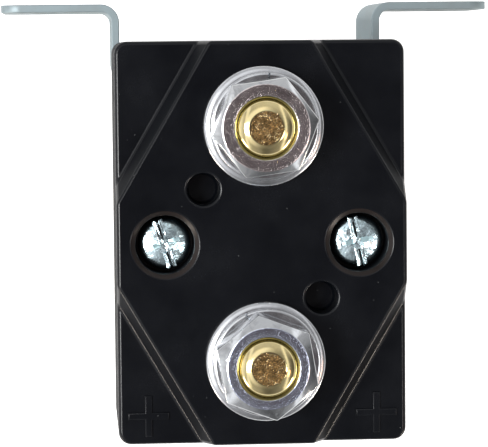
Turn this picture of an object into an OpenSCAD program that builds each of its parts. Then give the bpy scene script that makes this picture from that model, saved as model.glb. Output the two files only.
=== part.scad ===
// Small DC contactor with two stud terminals, standing on its magnet frame.
// Millimetres. The origin is on the plunger axis at the underside of the frame.
// +Z runs along the studs and +Y points to the panel that the bracket is screwed to.

/* [Housing] */
// Width of the housing, across the line of the studs
housing_w = 41.3; // [38:0.1:46]
// Length of the housing, along the line of the studs
housing_l = 57.5; // [54:0.1:64]
// Height of the housing above its base moulding
housing_h = 26.5; // [25:0.1:32]
// Thickness of the side walls
housing_wall = 2.5; // [1.8:0.1:3]
// Thickness of the roof that carries the studs
roof_t = 6.4; // [6.2:0.1:7.4]
// Radius of the upright outer corners of the housing
housing_corner_r = 1.8; // [1:0.1:2.4]
// Radius of the corners inside the housing, and of the top plate and the coil flanges
corner_r = 1.1; // [0.6:0.1:2]
// Thickness of the base moulding under the housing
base_t = 2.5; // [2:0.1:4]
// Height of the locating rib on the base moulding
base_rib_h = 1.2; // [0.8:0.1:2]
// Thickness of the locating rib on the base moulding
base_rib_t = 1.2; // [0.8:0.1:2]

/* [Raised face] */
// Height of the raised face above the four corners
face_step = 2.4; // [1.5:0.1:3.2]
// Width of the raised face at the two short sides
face_end_w = 14.3; // [10:0.1:18]
// Length of the raised face at the two long sides
face_side_l = 11.2; // [10.4:0.1:16]
// Horizontal run of the sloped wall of the step
step_run = 1.35; // [0.8:0.05:2]
// Radius of the rounded edges of the step
step_r = 0.6; // [0.3:0.1:0.8]
// Length of each arm pair of a polarity mark
mark_l = 5.9; // [4:0.1:6.6]
// Width of the arms of a polarity mark
mark_w = 1.07; // [0.7:0.01:1.6]
// Height of a polarity mark
mark_h = 0.3; // [0.2:0.05:0.6]
// Distance from the middle of a polarity mark to the long side
mark_inset_x = 4.3; // [3.5:0.05:6]
// Distance from the middle of a polarity mark to the short side
mark_inset_y = 4.1; // [3.5:0.05:6]

/* [Blank holes] */
// Diameter of the two blank holes
blank_d = 4.5; // [3:0.1:5]
// Depth of the two blank holes
blank_depth = 4; // [2:0.1:5]
// Width of the chamfer at their rims
blank_chamfer = 0.45; // [0.2:0.05:0.8]
// Distance of each blank hole from the line of the studs
blank_x = 8.33; // [7:0.01:9]
// Distance of each blank hole from the line of the screws
blank_y = 7.8; // [7.6:0.1:9]

/* [Terminal studs] */
// Diameter of the stud thread
stud_d = 8; // [6:0.1:8.2]
// Distance between the two studs
stud_spacing = 33.3; // [33:0.1:36]
// Length of stud that shows above the nut
stud_end = 0.8; // [0.4:0.1:4]
// Diameter of the flat end of the stud
stud_tip_d = 4.6; // [3:0.1:5]
// Height of the rounded end of the stud
stud_dome_h = 1.3; // [0.8:0.1:2]
// Length of the stud head along the line of the studs
head_l = 14; // [11:0.1:15]
// Width of the stud head between its flats
head_w = 11; // [9:0.1:13]
// Thickness of the stud head
head_t = 3; // [2:0.1:4]
// Diameter of the silver tip on the stud head
fixed_tip_d = 8; // [6:0.1:9]
// Thickness of the silver tip on the stud head
fixed_tip_t = 1.2; // [0.8:0.1:2]

/* [Stud hardware] */
// Outer diameter of the flat washers
flat_washer_d = 17; // [15.5:0.1:18]
// Thickness of the flat washers
flat_washer_t = 1.6; // [1:0.1:2]
// Sideways shift of the flat washers on the studs
flat_washer_shift = 0.25; // [0:0.05:0.25]
// Outer diameter of the spring washers
spring_washer_d = 15.2; // [14:0.1:16]
// Thickness of the spring washers
spring_washer_t = 1.2; // [1:0.1:2]
// Sideways shift of the spring washers on the studs
spring_washer_shift = 0.4; // [0:0.05:0.45]
// Width across the flats of the nuts
nut_af = 13; // [11:0.1:13.5]
// Height of the nuts
nut_h = 6.5; // [5:0.1:8]
// Diameter of the flat ring on the ends of the nuts, inside the corner chamfers
nut_face_d = 11.6; // [10.4:0.1:12.4]
// Diameter of the countersink at the nut bore
nut_sink_d = 9.1; // [8.6:0.1:10]

/* [Cover screws] */
// Diameter of the cover screws
screw_d = 4; // [3:0.1:4.2]
// Distance between the two cover screws
screw_spacing = 27.6; // [27.4:0.1:28.6]
// Diameter of the screw heads
screw_head_d = 7.4; // [6.8:0.1:7.8]
// Height of the screw heads
screw_head_h = 2.5; // [2:0.1:2.8]
// Height of the domed part of the screw heads
screw_dome_h = 1.5; // [1:0.1:1.9]
// Diameter of the flat middle of the screw heads
screw_flat_d = 3; // [2:0.1:4]
// Thickness of the raised lips along the screw slots
lip_t = 0.4; // [0.3:0.05:0.8]
// Height of the raised lips above the dome
lip_h = 0.15; // [0.05:0.01:0.3]
// Depth of the screw heads below the raised face
screw_head_depth = 2.5; // [1.5:0.1:2.7]
// Wall of the posts round the cover screws below the counterbores
post_wall = 0.4; // [0.2:0.1:1]
// Diameter of the counterbores for the screw heads
counterbore_d = 8.4; // [8.2:0.1:9.4]
// Width of the chamfer at the rims of the counterbores
counterbore_rim = 0.65; // [0.2:0.05:0.8]
// Width of the screw slot
slot_w = 0.6; // [0.5:0.1:1.2]
// Depth of the screw slot
slot_depth = 0.9; // [0.6:0.1:1.2]
// Thickness of the spring washers under the screw heads
screw_washer_t = 0.9; // [0.7:0.1:1]
// Outer diameter of the spring washers under the screw heads
screw_washer_d = 7; // [6:0.1:7.6]

/* [Magnet frame] */
// Thickness of the steel of the yoke and of the top plate
plate_t = 3; // [2:0.1:4]
// Steel that the top plate keeps outside the bores of the cover screws
plate_edge = 2.2; // [1.6:0.1:4]
// Outer distance over the two legs of the yoke
yoke_l = 45; // [43:0.1:48]
// Width of the front leg, which leaves room for the coil terminals
front_leg_w = 22; // [16:0.1:24]
// Width of the tenons at the tops of the legs
tenon_w = 12; // [8:0.1:16]
// Inner radius of the bends of the yoke
yoke_bend_r = 1.2; // [0.6:0.1:2]
// Length of the fixed pole inside the coil
pole_l = 10.4; // [9:0.1:14]
// Diameter of the spigot that holds the pole in the top plate
pole_spigot_d = 9; // [8:0.1:11]

/* [Coil] */
// Height of the coil bobbin between the yoke and the top plate
coil_h = 34; // [30:0.1:40]
// Thickness of the bobbin flanges
flange_t = 1.5; // [1:0.1:2]
// Outer diameter of the bobbin tube
bobbin_tube_d = 18.6; // [18.4:0.1:20]
// Distance that the flanges stand out past the winding
flange_lip = 0.9; // [0.6:0.1:1.5]
// Thickness of the tape round the winding
tape_t = 0.4; // [0.2:0.1:0.5]
// Width of the coil terminal blades
blade_w = 6.3; // [4.8:0.1:6.4]
// Thickness of the coil terminal blades
blade_t = 0.8; // [0.5:0.1:1]
// Free length of the coil terminal blades
blade_l = 8.5; // [7:0.1:12]
// Diameter of the latch hole in each blade
blade_hole_d = 1.7; // [1.2:0.1:2]
// Height of the terminal blocks that hold the blades
block_h = 5.5; // [4:0.1:8]
// Depth of the terminal blocks in front of the flange
block_l = 4.2; // [3:0.1:6]
// Diameter of the sleeved coil leads
lead_d = 1.4; // [1:0.1:2]

/* [Plunger] */
// Diameter of the plunger
plunger_d = 15.2; // [14.6:0.1:15.4]
// Travel of the plunger
travel = 3.16; // [2.5:0.01:4]
// Gap that stays between plunger and pole when closed
residual_gap = 0.14; // [0.1:0.01:0.3]
// Thickness of the rubber stop under the plunger
stop_t = 1.3; // [1:0.1:2]
// Wall of the brass guide sleeve
sleeve_t = 0.45; // [0.3:0.05:0.5]
// Diameter of the lower spindle
spindle_d = 5; // [4.6:0.1:5.4]
// Diameter of the upper spindle
spindle_top_d = 4; // [3.6:0.1:4.4]
// Diameter of the pockets for the return spring
spring_pocket_d = 9.4; // [9:0.1:10]
// Depth of the spring pocket in the plunger
plunger_pocket = 8; // [6:0.1:10]
// Depth of the spring pocket in the pole
pole_pocket = 6; // [4:0.1:7]
// Wire diameter of the return spring
return_wire = 0.8; // [0.6:0.05:0.9]
// Outer diameter of the return spring
return_spring_d = 8.4; // [7.8:0.1:8.6]
// Turns of the return spring
return_turns = 7; // [5:1:8]

/* [Contact bridge] */
// Open gap between the contact tips
contact_gap = 2.4; // [2.4:0.1:3]
// Thickness of the contact bridge
bridge_t = 2.5; // [2:0.1:3]
// Width of the contact bridge
bridge_w = 12; // [10:0.1:14]
// Length of the bridge past the middle of each tip
bridge_end = 5; // [4.5:0.1:6]
// Diameter of the silver tips on the bridge
bridge_tip_d = 7; // [6:0.1:8]
// Thickness of the silver tips on the bridge
bridge_tip_t = 1; // [0.6:0.1:1.4]
// Diameter of the flanges of the insulating bush
bush_flange_d = 10; // [9:0.1:11]
// Thickness of the lower flange of the insulating bush
bush_flange_t = 1; // [0.8:0.1:1.4]
// Thickness of the insulating washer on the bridge
bush_washer_t = 0.8; // [0.6:0.1:1.2]
// Wall of the insulating bush inside the bridge
bush_wall = 1.2; // [0.8:0.1:1.6]
// Thickness of the retaining clip
clip_t = 0.8; // [0.5:0.1:1]
// Outer diameter of the retaining clip
clip_d = 7.6; // [7:0.1:8.4]
// Depth of the groove for the retaining clip
groove_depth = 0.4; // [0.3:0.05:0.5]
// Length of spindle above the retaining clip
spindle_end = 0.8; // [0.6:0.1:1.2]
// Thickness of the spring seat
seat_t = 1.2; // [1:0.1:1.6]
// Diameter of the spring seat
seat_d = 12; // [11:0.1:13]
// Gap between the spring seat and the base moulding at rest
seat_gap = 0.6; // [0.4:0.1:1]
// Wire diameter of the contact spring
contact_wire = 1.1; // [0.8:0.05:1.1]
// Outer diameter of the contact spring
contact_spring_d = 9.6; // [9:0.1:10]
// Turns of the contact spring
contact_turns = 4; // [3:1:4]

/* [Blow-out magnets] */
// Length of each magnet
magnet_l = 12; // [8:0.1:14]
// Height of each magnet
magnet_h = 10; // [8:0.1:12]
// Thickness of each magnet
magnet_t = 2.5; // [1.5:0.1:3]

/* [Bracket] */
// Thickness of the bracket sheet
sheet_t = 1.2; // [1:0.1:2]
// Outer width over the two legs of the bracket
bracket_w = 41.1; // [40:0.1:44]
// Overall width over the tips of the feet
bracket_span = 74.7; // [70:0.1:80]
// Height of the bracket strip
strip_h = 21.6; // [16:0.1:22]
// Distance from the mounting plane to the back of the yoke
bracket_depth = 12; // [10:0.1:16]
// Gap between the bracket and the base moulding above it
bracket_top_gap = 1.6; // [1:0.1:4]
// Inner radius of the bends of the bracket
bracket_bend_r = 1.6; // [0.8:0.1:1.8]
// Radius of the corners of the feet
foot_corner_r = 3; // [2:0.1:5]
// Diameter of the fixing holes
fixing_d = 5.3; // [4.3:0.1:5.5]
// Distance from the middle of each fixing hole to the tip of its foot
fixing_inset = 7.35; // [6:0.05:9]
// Diameter of the rivet shanks
rivet_d = 4; // [3:0.1:5]
// Diameter of the rivet heads
rivet_head_d = 7; // [6:0.1:8]
// Height of the rivet heads
rivet_head_h = 1.4; // [1:0.1:2]
// Distance between the two rivets
rivet_spacing = 20; // [16:0.1:24]

/* [Hidden] */

$fn = 96;
// Overrun of every cut past the surface that it opens
over = 1;
// Gap all round a piece that is pressed, screwed or seated in another
seat_fit = 0.03;
// Radial gap of a piece that slides on or in another
slide_fit = 0.08;
// Gap between pieces that pass each other without touching
pass_gap = 0.35;
// Radial play of the studs and screws in the mouldings
bolt_play = 0.15;
// Segments in each rounded edge of the face step
edge_steps = 5;

// Levels from the base upwards
plate_z = plate_t + coil_h;
base_z = plate_z + plate_t;
chamber_z = base_z + base_t;
face_z = chamber_z + housing_h;
corner_z = face_z - face_step;
roof_z = face_z - roof_t;
head_z = roof_z - head_t;
fixed_tip_z = head_z - fixed_tip_t;
bridge_tip_z = fixed_tip_z - contact_gap - bridge_tip_t;
bridge_z = bridge_tip_z - bridge_t;
bush_z = bridge_z - bush_flange_t;
bush_washer_z = bridge_z + bridge_t;
clip_z = bush_washer_z + bush_washer_t + seat_fit;
spindle_top_z = clip_z + clip_t + spindle_end;
seat_z = chamber_z + seat_gap;
contact_spring_z = seat_z + seat_t;
contact_spring_h = bush_z - contact_spring_z;
pole_z = plate_z - pole_l;
plunger_top_z = pole_z - residual_gap - travel;
plunger_z = plate_t + stop_t;
pocket_z = plunger_top_z - plunger_pocket;
return_spring_h = pole_z + pole_pocket - pocket_z;
spindle_z = (plunger_z + pocket_z) / 2;
flat_washer_z = face_z;
spring_washer_z = flat_washer_z + flat_washer_t;
nut_z = spring_washer_z + spring_washer_t;
stud_top_z = nut_z + nut_h + stud_end;
screw_head_z = face_z - screw_head_depth - screw_head_h;
screw_seat_z = screw_head_z - screw_washer_t;
strip_z = base_z - bracket_top_gap - strip_h;

// Widths and places worked out from the sizes above
yoke_w = screw_spacing + screw_d + 2 * plate_edge;
fixing_spacing = bracket_span - 2 * fixing_inset;
cavity_w = housing_w - 2 * housing_wall;
cavity_l = housing_l - 2 * housing_wall;
cavity_h = roof_z - chamber_z;
post_d = counterbore_d + 2 * post_wall;
sleeve_inner_d = plunger_d + 2 * slide_fit;
sleeve_outer_d = sleeve_inner_d + 2 * sleeve_t;
bobbin_bore_d = sleeve_outer_d + 2 * seat_fit;
flange_w = yoke_w;
flange_l = yoke_l - 2 * plate_t - 2 * slide_fit;
lower_flange_l = flange_l - 2 * yoke_bend_r;
winding_d = min(flange_w, flange_l) - 2 * flange_lip - 2 * tape_t;
tape_d = winding_d + 2 * tape_t;
winding_z = plate_t + flange_t;
winding_h = coil_h - 2 * flange_t;
block_w = blade_w + flange_t;
block_x = front_leg_w / 2 + pass_gap + block_w / 2;
block_y = -flange_l / 2 - block_l;
blade_z = plate_t + block_h - 2 * flange_t;
blade_tail = block_l * 2 / 3;
yoke_front_cut = yoke_l / 2 - plate_t - yoke_bend_r - plate_t;
stop_d = sleeve_inner_d - 4 * pass_gap;
web_y = yoke_l / 2;
mount_y = web_y + bracket_depth;
strip_mid_z = strip_z + strip_h / 2;
leg_x = bracket_w / 2 - sheet_t;
screw_tip_z = plate_z + seat_fit;

// Shapes that are used more than once

module rounded_rect(w, l, r) {
    square([w - 2 * r, l], center = true);
    square([w, l - 2 * r], center = true);
    for (x = [-1, 1], y = [-1, 1])
        translate([x * (w / 2 - r), y * (l / 2 - r)]) circle(r = r);
}

module ring(outer_d, inner_d, h) {
    difference() {
        cylinder(d = outer_d, h = h);
        translate([0, 0, -over]) cylinder(d = inner_d, h = h + 2 * over);
    }
}

// A ring with a slanted split, as in a spring washer
module split_ring(outer_d, inner_d, h, gap) {
    difference() {
        ring(outer_d, inner_d, h);
        translate([0, 0, h / 2]) rotate([0, 30, 0])
            translate([-gap / 2, 0, -outer_d / 2]) cube([gap, outer_d, outer_d]);
    }
}

// A quarter of a bend in sheet, in the corner between +X and +Y
module sheet_bend(inner_r, t) {
    intersection() {
        difference() {
            circle(r = inner_r + t);
            circle(r = inner_r);
        }
        square(inner_r + t);
    }
}

module at_studs() {
    for (s = [-1, 1]) translate([0, s * stud_spacing / 2, 0]) children();
}

module at_screws() {
    for (s = [-1, 1]) translate([s * screw_spacing / 2, 0, 0]) children();
}

// Points on an arc, from one angle to another
function arc(centre, r, from, to, steps) = [
    for (i = [0:steps])
        let (a = from + (to - from) * i / steps)
            [centre[0] + r * cos(a), centre[1] + r * sin(a)]
];

// Points of a rounded edge that falls from a flat top to an upright side, from the side up
function dome(side_r, top_r, h, top_z) = [
    for (i = [0:edge_steps])
        let (a = 90 * i / edge_steps)
            [top_r + (side_r - top_r) * cos(a), top_z - h + h * sin(a)]
];

// Points along the middle of the wire of a helical spring
function wire_path(r, h, turns, rings) = [
    for (i = [0:turns * rings])
        [r * cos(360 * i / rings), r * sin(360 * i / rings), h * i / (turns * rings)]
];

// Least distance between the wire and itself, measured on turns that lie next to each other
function wire_gap(path, wire, rings) = min([
    for (i = [0:len(path) - 1], j = [i + rings / 2:len(path) - 1])
        norm(path[i] - path[j])
]) - wire;

// A helical spring as one unbroken tube that fills the height h
module wire_spring(outer_d, wire, h, turns) {
    rings = 8;
    sides = 6;
    r = (outer_d - wire) / 2;
    path = wire_path(r, h - wire, turns, rings);
    last = len(path) - 1;
    points = [
        for (i = [0:last])
            let (
                a = 360 * i / rings,
                out = [cos(a), sin(a), 0],
                run = [-2 * PI * r * sin(a), 2 * PI * r * cos(a), (h - wire) / turns],
                side = cross(run / norm(run), out)
            )
            for (k = [0:sides - 1])
                path[i] + wire / 2 * (cos(360 * k / sides) * out + sin(360 * k / sides) * side)
    ];
    faces = concat(
        [for (k = [1:sides - 2]) [0, k, k + 1]],
        [for (k = [1:sides - 2]) [last * sides, last * sides + k + 1, last * sides + k]],
        [for (i = [0:last - 1], k = [0:sides - 1], half = [0, 1])
            let (
                a = i * sides + k,
                b = i * sides + (k + 1) % sides,
                c = b + sides,
                d = a + sides
            )
            half == 0 ? [a, d, c] : [a, c, b]]
    );
    translate([0, 0, wire / 2]) polyhedron(points = points, faces = faces);
}

// Housing and base moulding

// Cuts one corner of the housing down to the lower level, with a sloped and rounded wall
module corner_step() {
    start = [face_end_w / 2, housing_l / 2];
    finish = [housing_w / 2, face_side_l / 2];
    run = finish - start;
    slope = atan2(face_step, step_run);
    tangent = step_r * tan(slope / 2);
    reach = norm(run);
    translate([start[0], start[1], 0]) rotate([0, 0, atan2(run[1], run[0])])
        translate([-reach / 2, 0, 0]) rotate([90, 0, 90])
            linear_extrude(2 * reach) polygon(concat(
                [[reach, corner_z]],
                [[reach, face_z + over], [-tangent, face_z + over]],
                arc([-tangent, face_z - step_r], step_r, 90, 90 - slope, edge_steps),
                arc([step_run + tangent, corner_z + step_r], step_r, 270 - slope, 270, edge_steps)
            ));
}

module polarity_mark() {
    translate([0, 0, corner_z - mark_h])
        linear_extrude(2 * mark_h) {
            square([mark_l, mark_w], center = true);
            square([mark_w, mark_l], center = true);
        }
}

module housing() {
    color("#17191c") difference() {
        union() {
            difference() {
                translate([0, 0, chamber_z])
                    linear_extrude(housing_h) rounded_rect(housing_w, housing_l, housing_corner_r);
                for (x = [0, 1], y = [0, 1]) mirror([x, 0, 0]) mirror([0, y, 0]) corner_step();
                translate([0, 0, chamber_z - over])
                    linear_extrude(cavity_h + over) rounded_rect(cavity_w, cavity_l, corner_r);
            }
            at_screws() translate([0, 0, chamber_z + base_rib_h + seat_fit])
                cylinder(d = post_d, h = cavity_h);
            for (s = [-1, 1])
                translate([s * (housing_w / 2 - mark_inset_x), mark_inset_y - housing_l / 2, 0])
                    polarity_mark();
        }
        at_screws() {
            translate([0, 0, chamber_z - over])
                cylinder(d = screw_d + 2 * bolt_play, h = housing_h + 2 * over);
            translate([0, 0, screw_seat_z]) cylinder(d = counterbore_d, h = housing_h);
            translate([0, 0, face_z - counterbore_rim])
                cylinder(
                    d1 = counterbore_d,
                    d2 = counterbore_d + 4 * counterbore_rim,
                    h = 2 * counterbore_rim
                );
        }
        at_studs() translate([0, 0, roof_z - over])
            cylinder(d = stud_d + 2 * bolt_play, h = roof_t + 2 * over);
        for (s = [-1, 1]) translate([-s * blank_x, s * blank_y, 0]) {
            translate([0, 0, face_z - blank_depth]) cylinder(d = blank_d, h = housing_h);
            translate([0, 0, face_z - blank_chamfer])
                cylinder(d1 = blank_d, d2 = blank_d + 4 * blank_chamfer, h = 2 * blank_chamfer);
        }
    }
}

module chamber_base() {
    color("#1d1f22") difference() {
        union() {
            translate([0, 0, base_z])
                linear_extrude(base_t) rounded_rect(housing_w, housing_l, housing_corner_r);
            translate([0, 0, chamber_z]) linear_extrude(base_rib_h) difference() {
                rounded_rect(cavity_w - 2 * seat_fit, cavity_l - 2 * seat_fit, corner_r);
                rounded_rect(
                    cavity_w - 2 * seat_fit - 2 * base_rib_t,
                    cavity_l - 2 * seat_fit - 2 * base_rib_t,
                    corner_r
                );
            }
        }
        translate([0, 0, base_z - over])
            cylinder(d = spindle_d + 2 * slide_fit, h = base_t + 2 * over);
        at_screws() translate([0, 0, base_z - over])
            cylinder(d = screw_d + 2 * bolt_play, h = base_t + base_rib_h + 2 * over);
    }
}

// Terminals and fixed contacts

module terminal_studs() {
    color("#b08a3c") at_studs() {
        translate([0, 0, head_z]) intersection() {
            cylinder(d = head_l, h = head_t);
            translate([-head_w / 2, -head_l / 2, 0]) cube([head_w, head_l, head_t]);
        }
        rotate_extrude() polygon(concat(
            [[0, roof_z - head_t / 2], [stud_d / 2, roof_z - head_t / 2]],
            dome(stud_d / 2, stud_tip_d / 2, stud_dome_h, stud_top_z),
            [[0, stud_top_z]]
        ));
    }
}

module fixed_contact_tips() {
    color("#d9dadb") at_studs() translate([0, 0, fixed_tip_z])
        cylinder(d = fixed_tip_d, h = fixed_tip_t);
}

module stud_flat_washers() {
    color("#b9bec6") at_studs() translate([flat_washer_shift, 0, flat_washer_z])
        ring(flat_washer_d, stud_d + 4 * bolt_play, flat_washer_t);
}

module stud_spring_washers() {
    color("#a9aeb8") at_studs() translate([spring_washer_shift, 0, spring_washer_z])
        split_ring(
            spring_washer_d,
            stud_d + 2 * spring_washer_shift + 2 * slide_fit,
            spring_washer_t,
            bolt_play
        );
}

// A hexagon nut with chamfered corners and a countersunk bore
module hex_nut() {
    corner_d = nut_af / cos(30);
    bevel = (corner_d - nut_face_d) / 2 * tan(30);
    sink = (nut_sink_d - stud_d) / 2;
    bore_r = stud_d / 2 + seat_fit;
    intersection() {
        rotate([0, 0, 30]) cylinder(d = corner_d, h = nut_h, $fn = 6);
        rotate_extrude() polygon([
            [bore_r, sink], [bore_r + sink, 0], [nut_face_d / 2, 0], [corner_d / 2, bevel],
            [corner_d / 2, nut_h - bevel], [nut_face_d / 2, nut_h], [bore_r + sink, nut_h],
            [bore_r, nut_h - sink]
        ]);
    }
}

module stud_nuts() {
    // Turn of the lower and the upper nut, as they were tightened
    turns = [9.5, 38];
    color("#8d909c") for (i = [0, 1])
        translate([0, (2 * i - 1) * stud_spacing / 2, nut_z]) rotate([0, 0, turns[i]]) hex_nut();
}

// Cover screws

// A domed screw head on its shank, grown by the height of the slot lips where these are cut out
module domed_screw(grown) {
    top_z = screw_head_z + screw_head_h + grown;
    rotate_extrude() polygon(concat(
        [[0, screw_tip_z], [screw_d / 2, screw_tip_z], [screw_d / 2, screw_head_z]],
        [[screw_head_d / 2, screw_head_z]],
        dome(screw_head_d / 2, screw_flat_d / 2 + grown, screw_dome_h, top_z),
        [[0, top_z]]
    ));
}

module cover_screws() {
    // Turn of the slots of the left and the right screw
    turns = [17.5, 12];
    lips_w = slot_w + 2 * lip_t;
    head_top_z = screw_head_z + screw_head_h;
    color("#a3b0b2") for (i = [0, 1])
        translate([(2 * i - 1) * screw_spacing / 2, 0, 0]) difference() {
            union() {
                domed_screw(0);
                intersection() {
                    domed_screw(lip_h);
                    rotate([0, 0, turns[i]])
                        translate([-lips_w / 2, -screw_head_d, screw_head_z])
                            cube([lips_w, 2 * screw_head_d, 2 * screw_head_h]);
                }
            }
            translate([0, 0, head_top_z]) rotate([0, 0, turns[i]]) {
                translate([-slot_w / 2, -screw_head_d, -slot_depth])
                    cube([slot_w, 2 * screw_head_d, slot_depth + over]);
                translate([-screw_d / 2, -slot_w / 2, -2 * slot_depth])
                    cube([screw_d, slot_w, 2 * slot_depth + over]);
                translate([-slot_w / 2, -screw_d / 2, -2 * slot_depth])
                    cube([slot_w, screw_d, 2 * slot_depth + over]);
            }
        }
}

module screw_spring_washers() {
    color("#9aa0a4") at_screws() translate([0, 0, screw_seat_z])
        split_ring(screw_washer_d, screw_d + 2 * bolt_play, screw_washer_t, bolt_play);
}

module blowout_magnets() {
    color("#3b3b40") for (x = [-1, 1], y = [-1, 1])
        translate([
            x * (cavity_w / 2 - magnet_t / 2) - magnet_t / 2,
            y * stud_spacing / 2 - magnet_l / 2,
            roof_z - magnet_h
        ])
            cube([magnet_t, magnet_l, magnet_h]);
}

// Magnet frame

module top_plate() {
    color("#a7adb5") difference() {
        translate([0, 0, plate_z]) linear_extrude(plate_t) rounded_rect(yoke_w, yoke_l, corner_r);
        for (s = [-1, 1])
            translate([
                -tenon_w / 2 - seat_fit,
                s * (yoke_l / 2 - plate_t / 2 - seat_fit / 2 + over / 2)
                    - (plate_t + seat_fit + over) / 2,
                plate_z - over
            ])
                cube([tenon_w + 2 * seat_fit, plate_t + seat_fit + over, plate_t + 2 * over]);
        translate([0, 0, plate_z - over])
            cylinder(d = pole_spigot_d + 2 * seat_fit, h = plate_t + 2 * over);
        at_screws() translate([0, 0, plate_z - over])
            cylinder(d = screw_d + 2 * seat_fit, h = plate_t + 2 * over);
    }
}

// Outline of the bent yoke strip, seen from the side
module yoke_outline() {
    bend = yoke_bend_r + plate_t;
    for (s = [0, 1]) mirror([s, 0, 0]) {
        square([yoke_l / 2 - bend, plate_t]);
        translate([yoke_l / 2 - bend, bend]) mirror([0, 1, 0]) sheet_bend(yoke_bend_r, plate_t);
        translate([yoke_l / 2 - plate_t, bend]) square([plate_t, plate_z - bend]);
    }
}

module yoke() {
    color("#a7adb5") difference() {
        union() {
            translate([-yoke_w / 2, 0, 0]) rotate([90, 0, 90])
                linear_extrude(yoke_w) yoke_outline();
            for (s = [-1, 1])
                translate([
                    -tenon_w / 2,
                    s * (yoke_l - plate_t) / 2 - plate_t / 2,
                    plate_z - plate_t
                ])
                    cube([tenon_w, plate_t, 2 * plate_t - seat_fit]);
        }
        for (s = [-1, 1])
            translate([
                s * (front_leg_w / 2 + yoke_w / 2) - yoke_w / 2,
                -yoke_l / 2 - over,
                -over
            ])
                cube([yoke_w, yoke_l / 2 + over - yoke_front_cut, plate_z + 2 * over]);
        rivet_bores();
    }
}

module fixed_pole() {
    color("#8f959c") difference() {
        union() {
            translate([0, 0, pole_z]) cylinder(d = sleeve_inner_d - 2 * seat_fit, h = pole_l);
            translate([0, 0, plate_z]) cylinder(d = pole_spigot_d, h = plate_t - seat_fit);
        }
        translate([0, 0, pole_z - over])
            cylinder(d = spindle_d + 2 * pass_gap, h = pole_l + plate_t + 2 * over);
        translate([0, 0, pole_z - over]) cylinder(d = spring_pocket_d, h = pole_pocket + over);
    }
}

// Coil

module bobbin() {
    color("#2a2b2d") difference() {
        union() {
            translate([0, 0, plate_t]) cylinder(d = bobbin_tube_d, h = coil_h);
            translate([0, 0, plate_t]) linear_extrude(flange_t)
                rounded_rect(flange_w, lower_flange_l, corner_r);
            translate([0, 0, plate_z - flange_t]) linear_extrude(flange_t)
                rounded_rect(flange_w, flange_l, corner_r);
            for (s = [-1, 1])
                translate([s * block_x - block_w / 2, block_y, plate_t])
                    cube([block_w, block_l + yoke_bend_r + corner_r, block_h]);
        }
        translate([0, 0, plate_t - over]) cylinder(d = bobbin_bore_d, h = coil_h + 2 * over);
        for (s = [-1, 1]) {
            translate([
                s * block_x - blade_w / 2 - seat_fit,
                block_y - over,
                blade_z - seat_fit
            ])
                cube([blade_w + 2 * seat_fit, blade_tail + over, blade_t + 2 * seat_fit]);
            translate([s * block_x, block_y, blade_z + blade_t / 2]) rotate([-90, 0, 0])
                cylinder(
                    d = lead_d + 2 * seat_fit,
                    h = block_l + yoke_bend_r + corner_r + over
                );
        }
    }
}

module coil_winding() {
    color("#b5672f") translate([0, 0, winding_z])
        ring(winding_d, bobbin_tube_d + 2 * seat_fit, winding_h);
}

module coil_tape() {
    color("#c9a13a") translate([0, 0, winding_z]) ring(tape_d, winding_d, winding_h);
}

module coil_terminals() {
    tip = blade_t;
    color("#c9cacb") for (s = [-1, 1])
        translate([s * block_x, block_y + blade_tail, blade_z]) difference() {
            linear_extrude(blade_t) polygon([
                [-blade_w / 2, 0],
                [-blade_w / 2, tip - blade_tail - blade_l],
                [tip - blade_w / 2, -blade_tail - blade_l],
                [blade_w / 2 - tip, -blade_tail - blade_l],
                [blade_w / 2, tip - blade_tail - blade_l],
                [blade_w / 2, 0]
            ]);
            translate([0, -blade_tail - blade_l / 2, -over])
                cylinder(d = blade_hole_d, h = blade_t + 2 * over);
        }
}

// Sleeved leads from the winding to the tails of the blades
module coil_leads() {
    lead_from = block_y + blade_tail;
    lead_to = -sqrt(max((tape_d / 2) ^ 2 - (block_x - lead_d / 2) ^ 2, 0));
    color("#8c2f22") for (s = [-1, 1])
        translate([s * block_x, lead_from, blade_z + blade_t / 2]) rotate([-90, 0, 0])
            cylinder(d = lead_d, h = lead_to - lead_from);
}

// Plunger and what moves with it

module guide_sleeve() {
    color("#c7a24a") translate([0, 0, plate_t + seat_fit])
        ring(sleeve_outer_d, sleeve_inner_d, coil_h - 2 * seat_fit);
}

module plunger() {
    color("#8f959c") difference() {
        translate([0, 0, plunger_z]) cylinder(d = plunger_d, h = plunger_top_z - plunger_z);
        translate([0, 0, pocket_z]) cylinder(d = spring_pocket_d, h = plunger_pocket + over);
        translate([0, 0, spindle_z - seat_fit])
            cylinder(d = spindle_d + 2 * seat_fit, h = plunger_pocket + plunger_top_z - spindle_z);
    }
}

module spindle() {
    color("#c4c8cc") difference() {
        union() {
            translate([0, 0, spindle_z]) cylinder(d = spindle_d, h = seat_z - spindle_z);
            translate([0, 0, seat_z]) cylinder(d = spindle_top_d, h = spindle_top_z - seat_z);
        }
        translate([0, 0, clip_z - seat_fit])
            ring(spindle_top_d + 2 * over, spindle_top_d - 2 * groove_depth, clip_t + 2 * seat_fit);
    }
}

module plunger_stop() {
    color("#2b2b2b") translate([0, 0, plate_t]) cylinder(d = stop_d, h = stop_t);
}

module return_spring() {
    color("#c9ccd0") translate([0, 0, pocket_z])
        wire_spring(return_spring_d, return_wire, return_spring_h, return_turns);
}

module spring_seat() {
    color("#e6e2d6") translate([0, 0, seat_z]) ring(seat_d, spindle_top_d + 2 * seat_fit, seat_t);
}

module contact_spring() {
    color("#c9ccd0") translate([0, 0, contact_spring_z])
        wire_spring(contact_spring_d, contact_wire, contact_spring_h, contact_turns);
}

module spindle_clip() {
    inner_d = spindle_top_d - 2 * groove_depth + 2 * seat_fit;
    color("#3f4347") translate([0, 0, clip_z]) difference() {
        ring(clip_d, inner_d, clip_t);
        translate([-inner_d / 2, 0, -over]) cube([inner_d, clip_d, clip_t + 2 * over]);
    }
}

// Contact bridge

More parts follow.
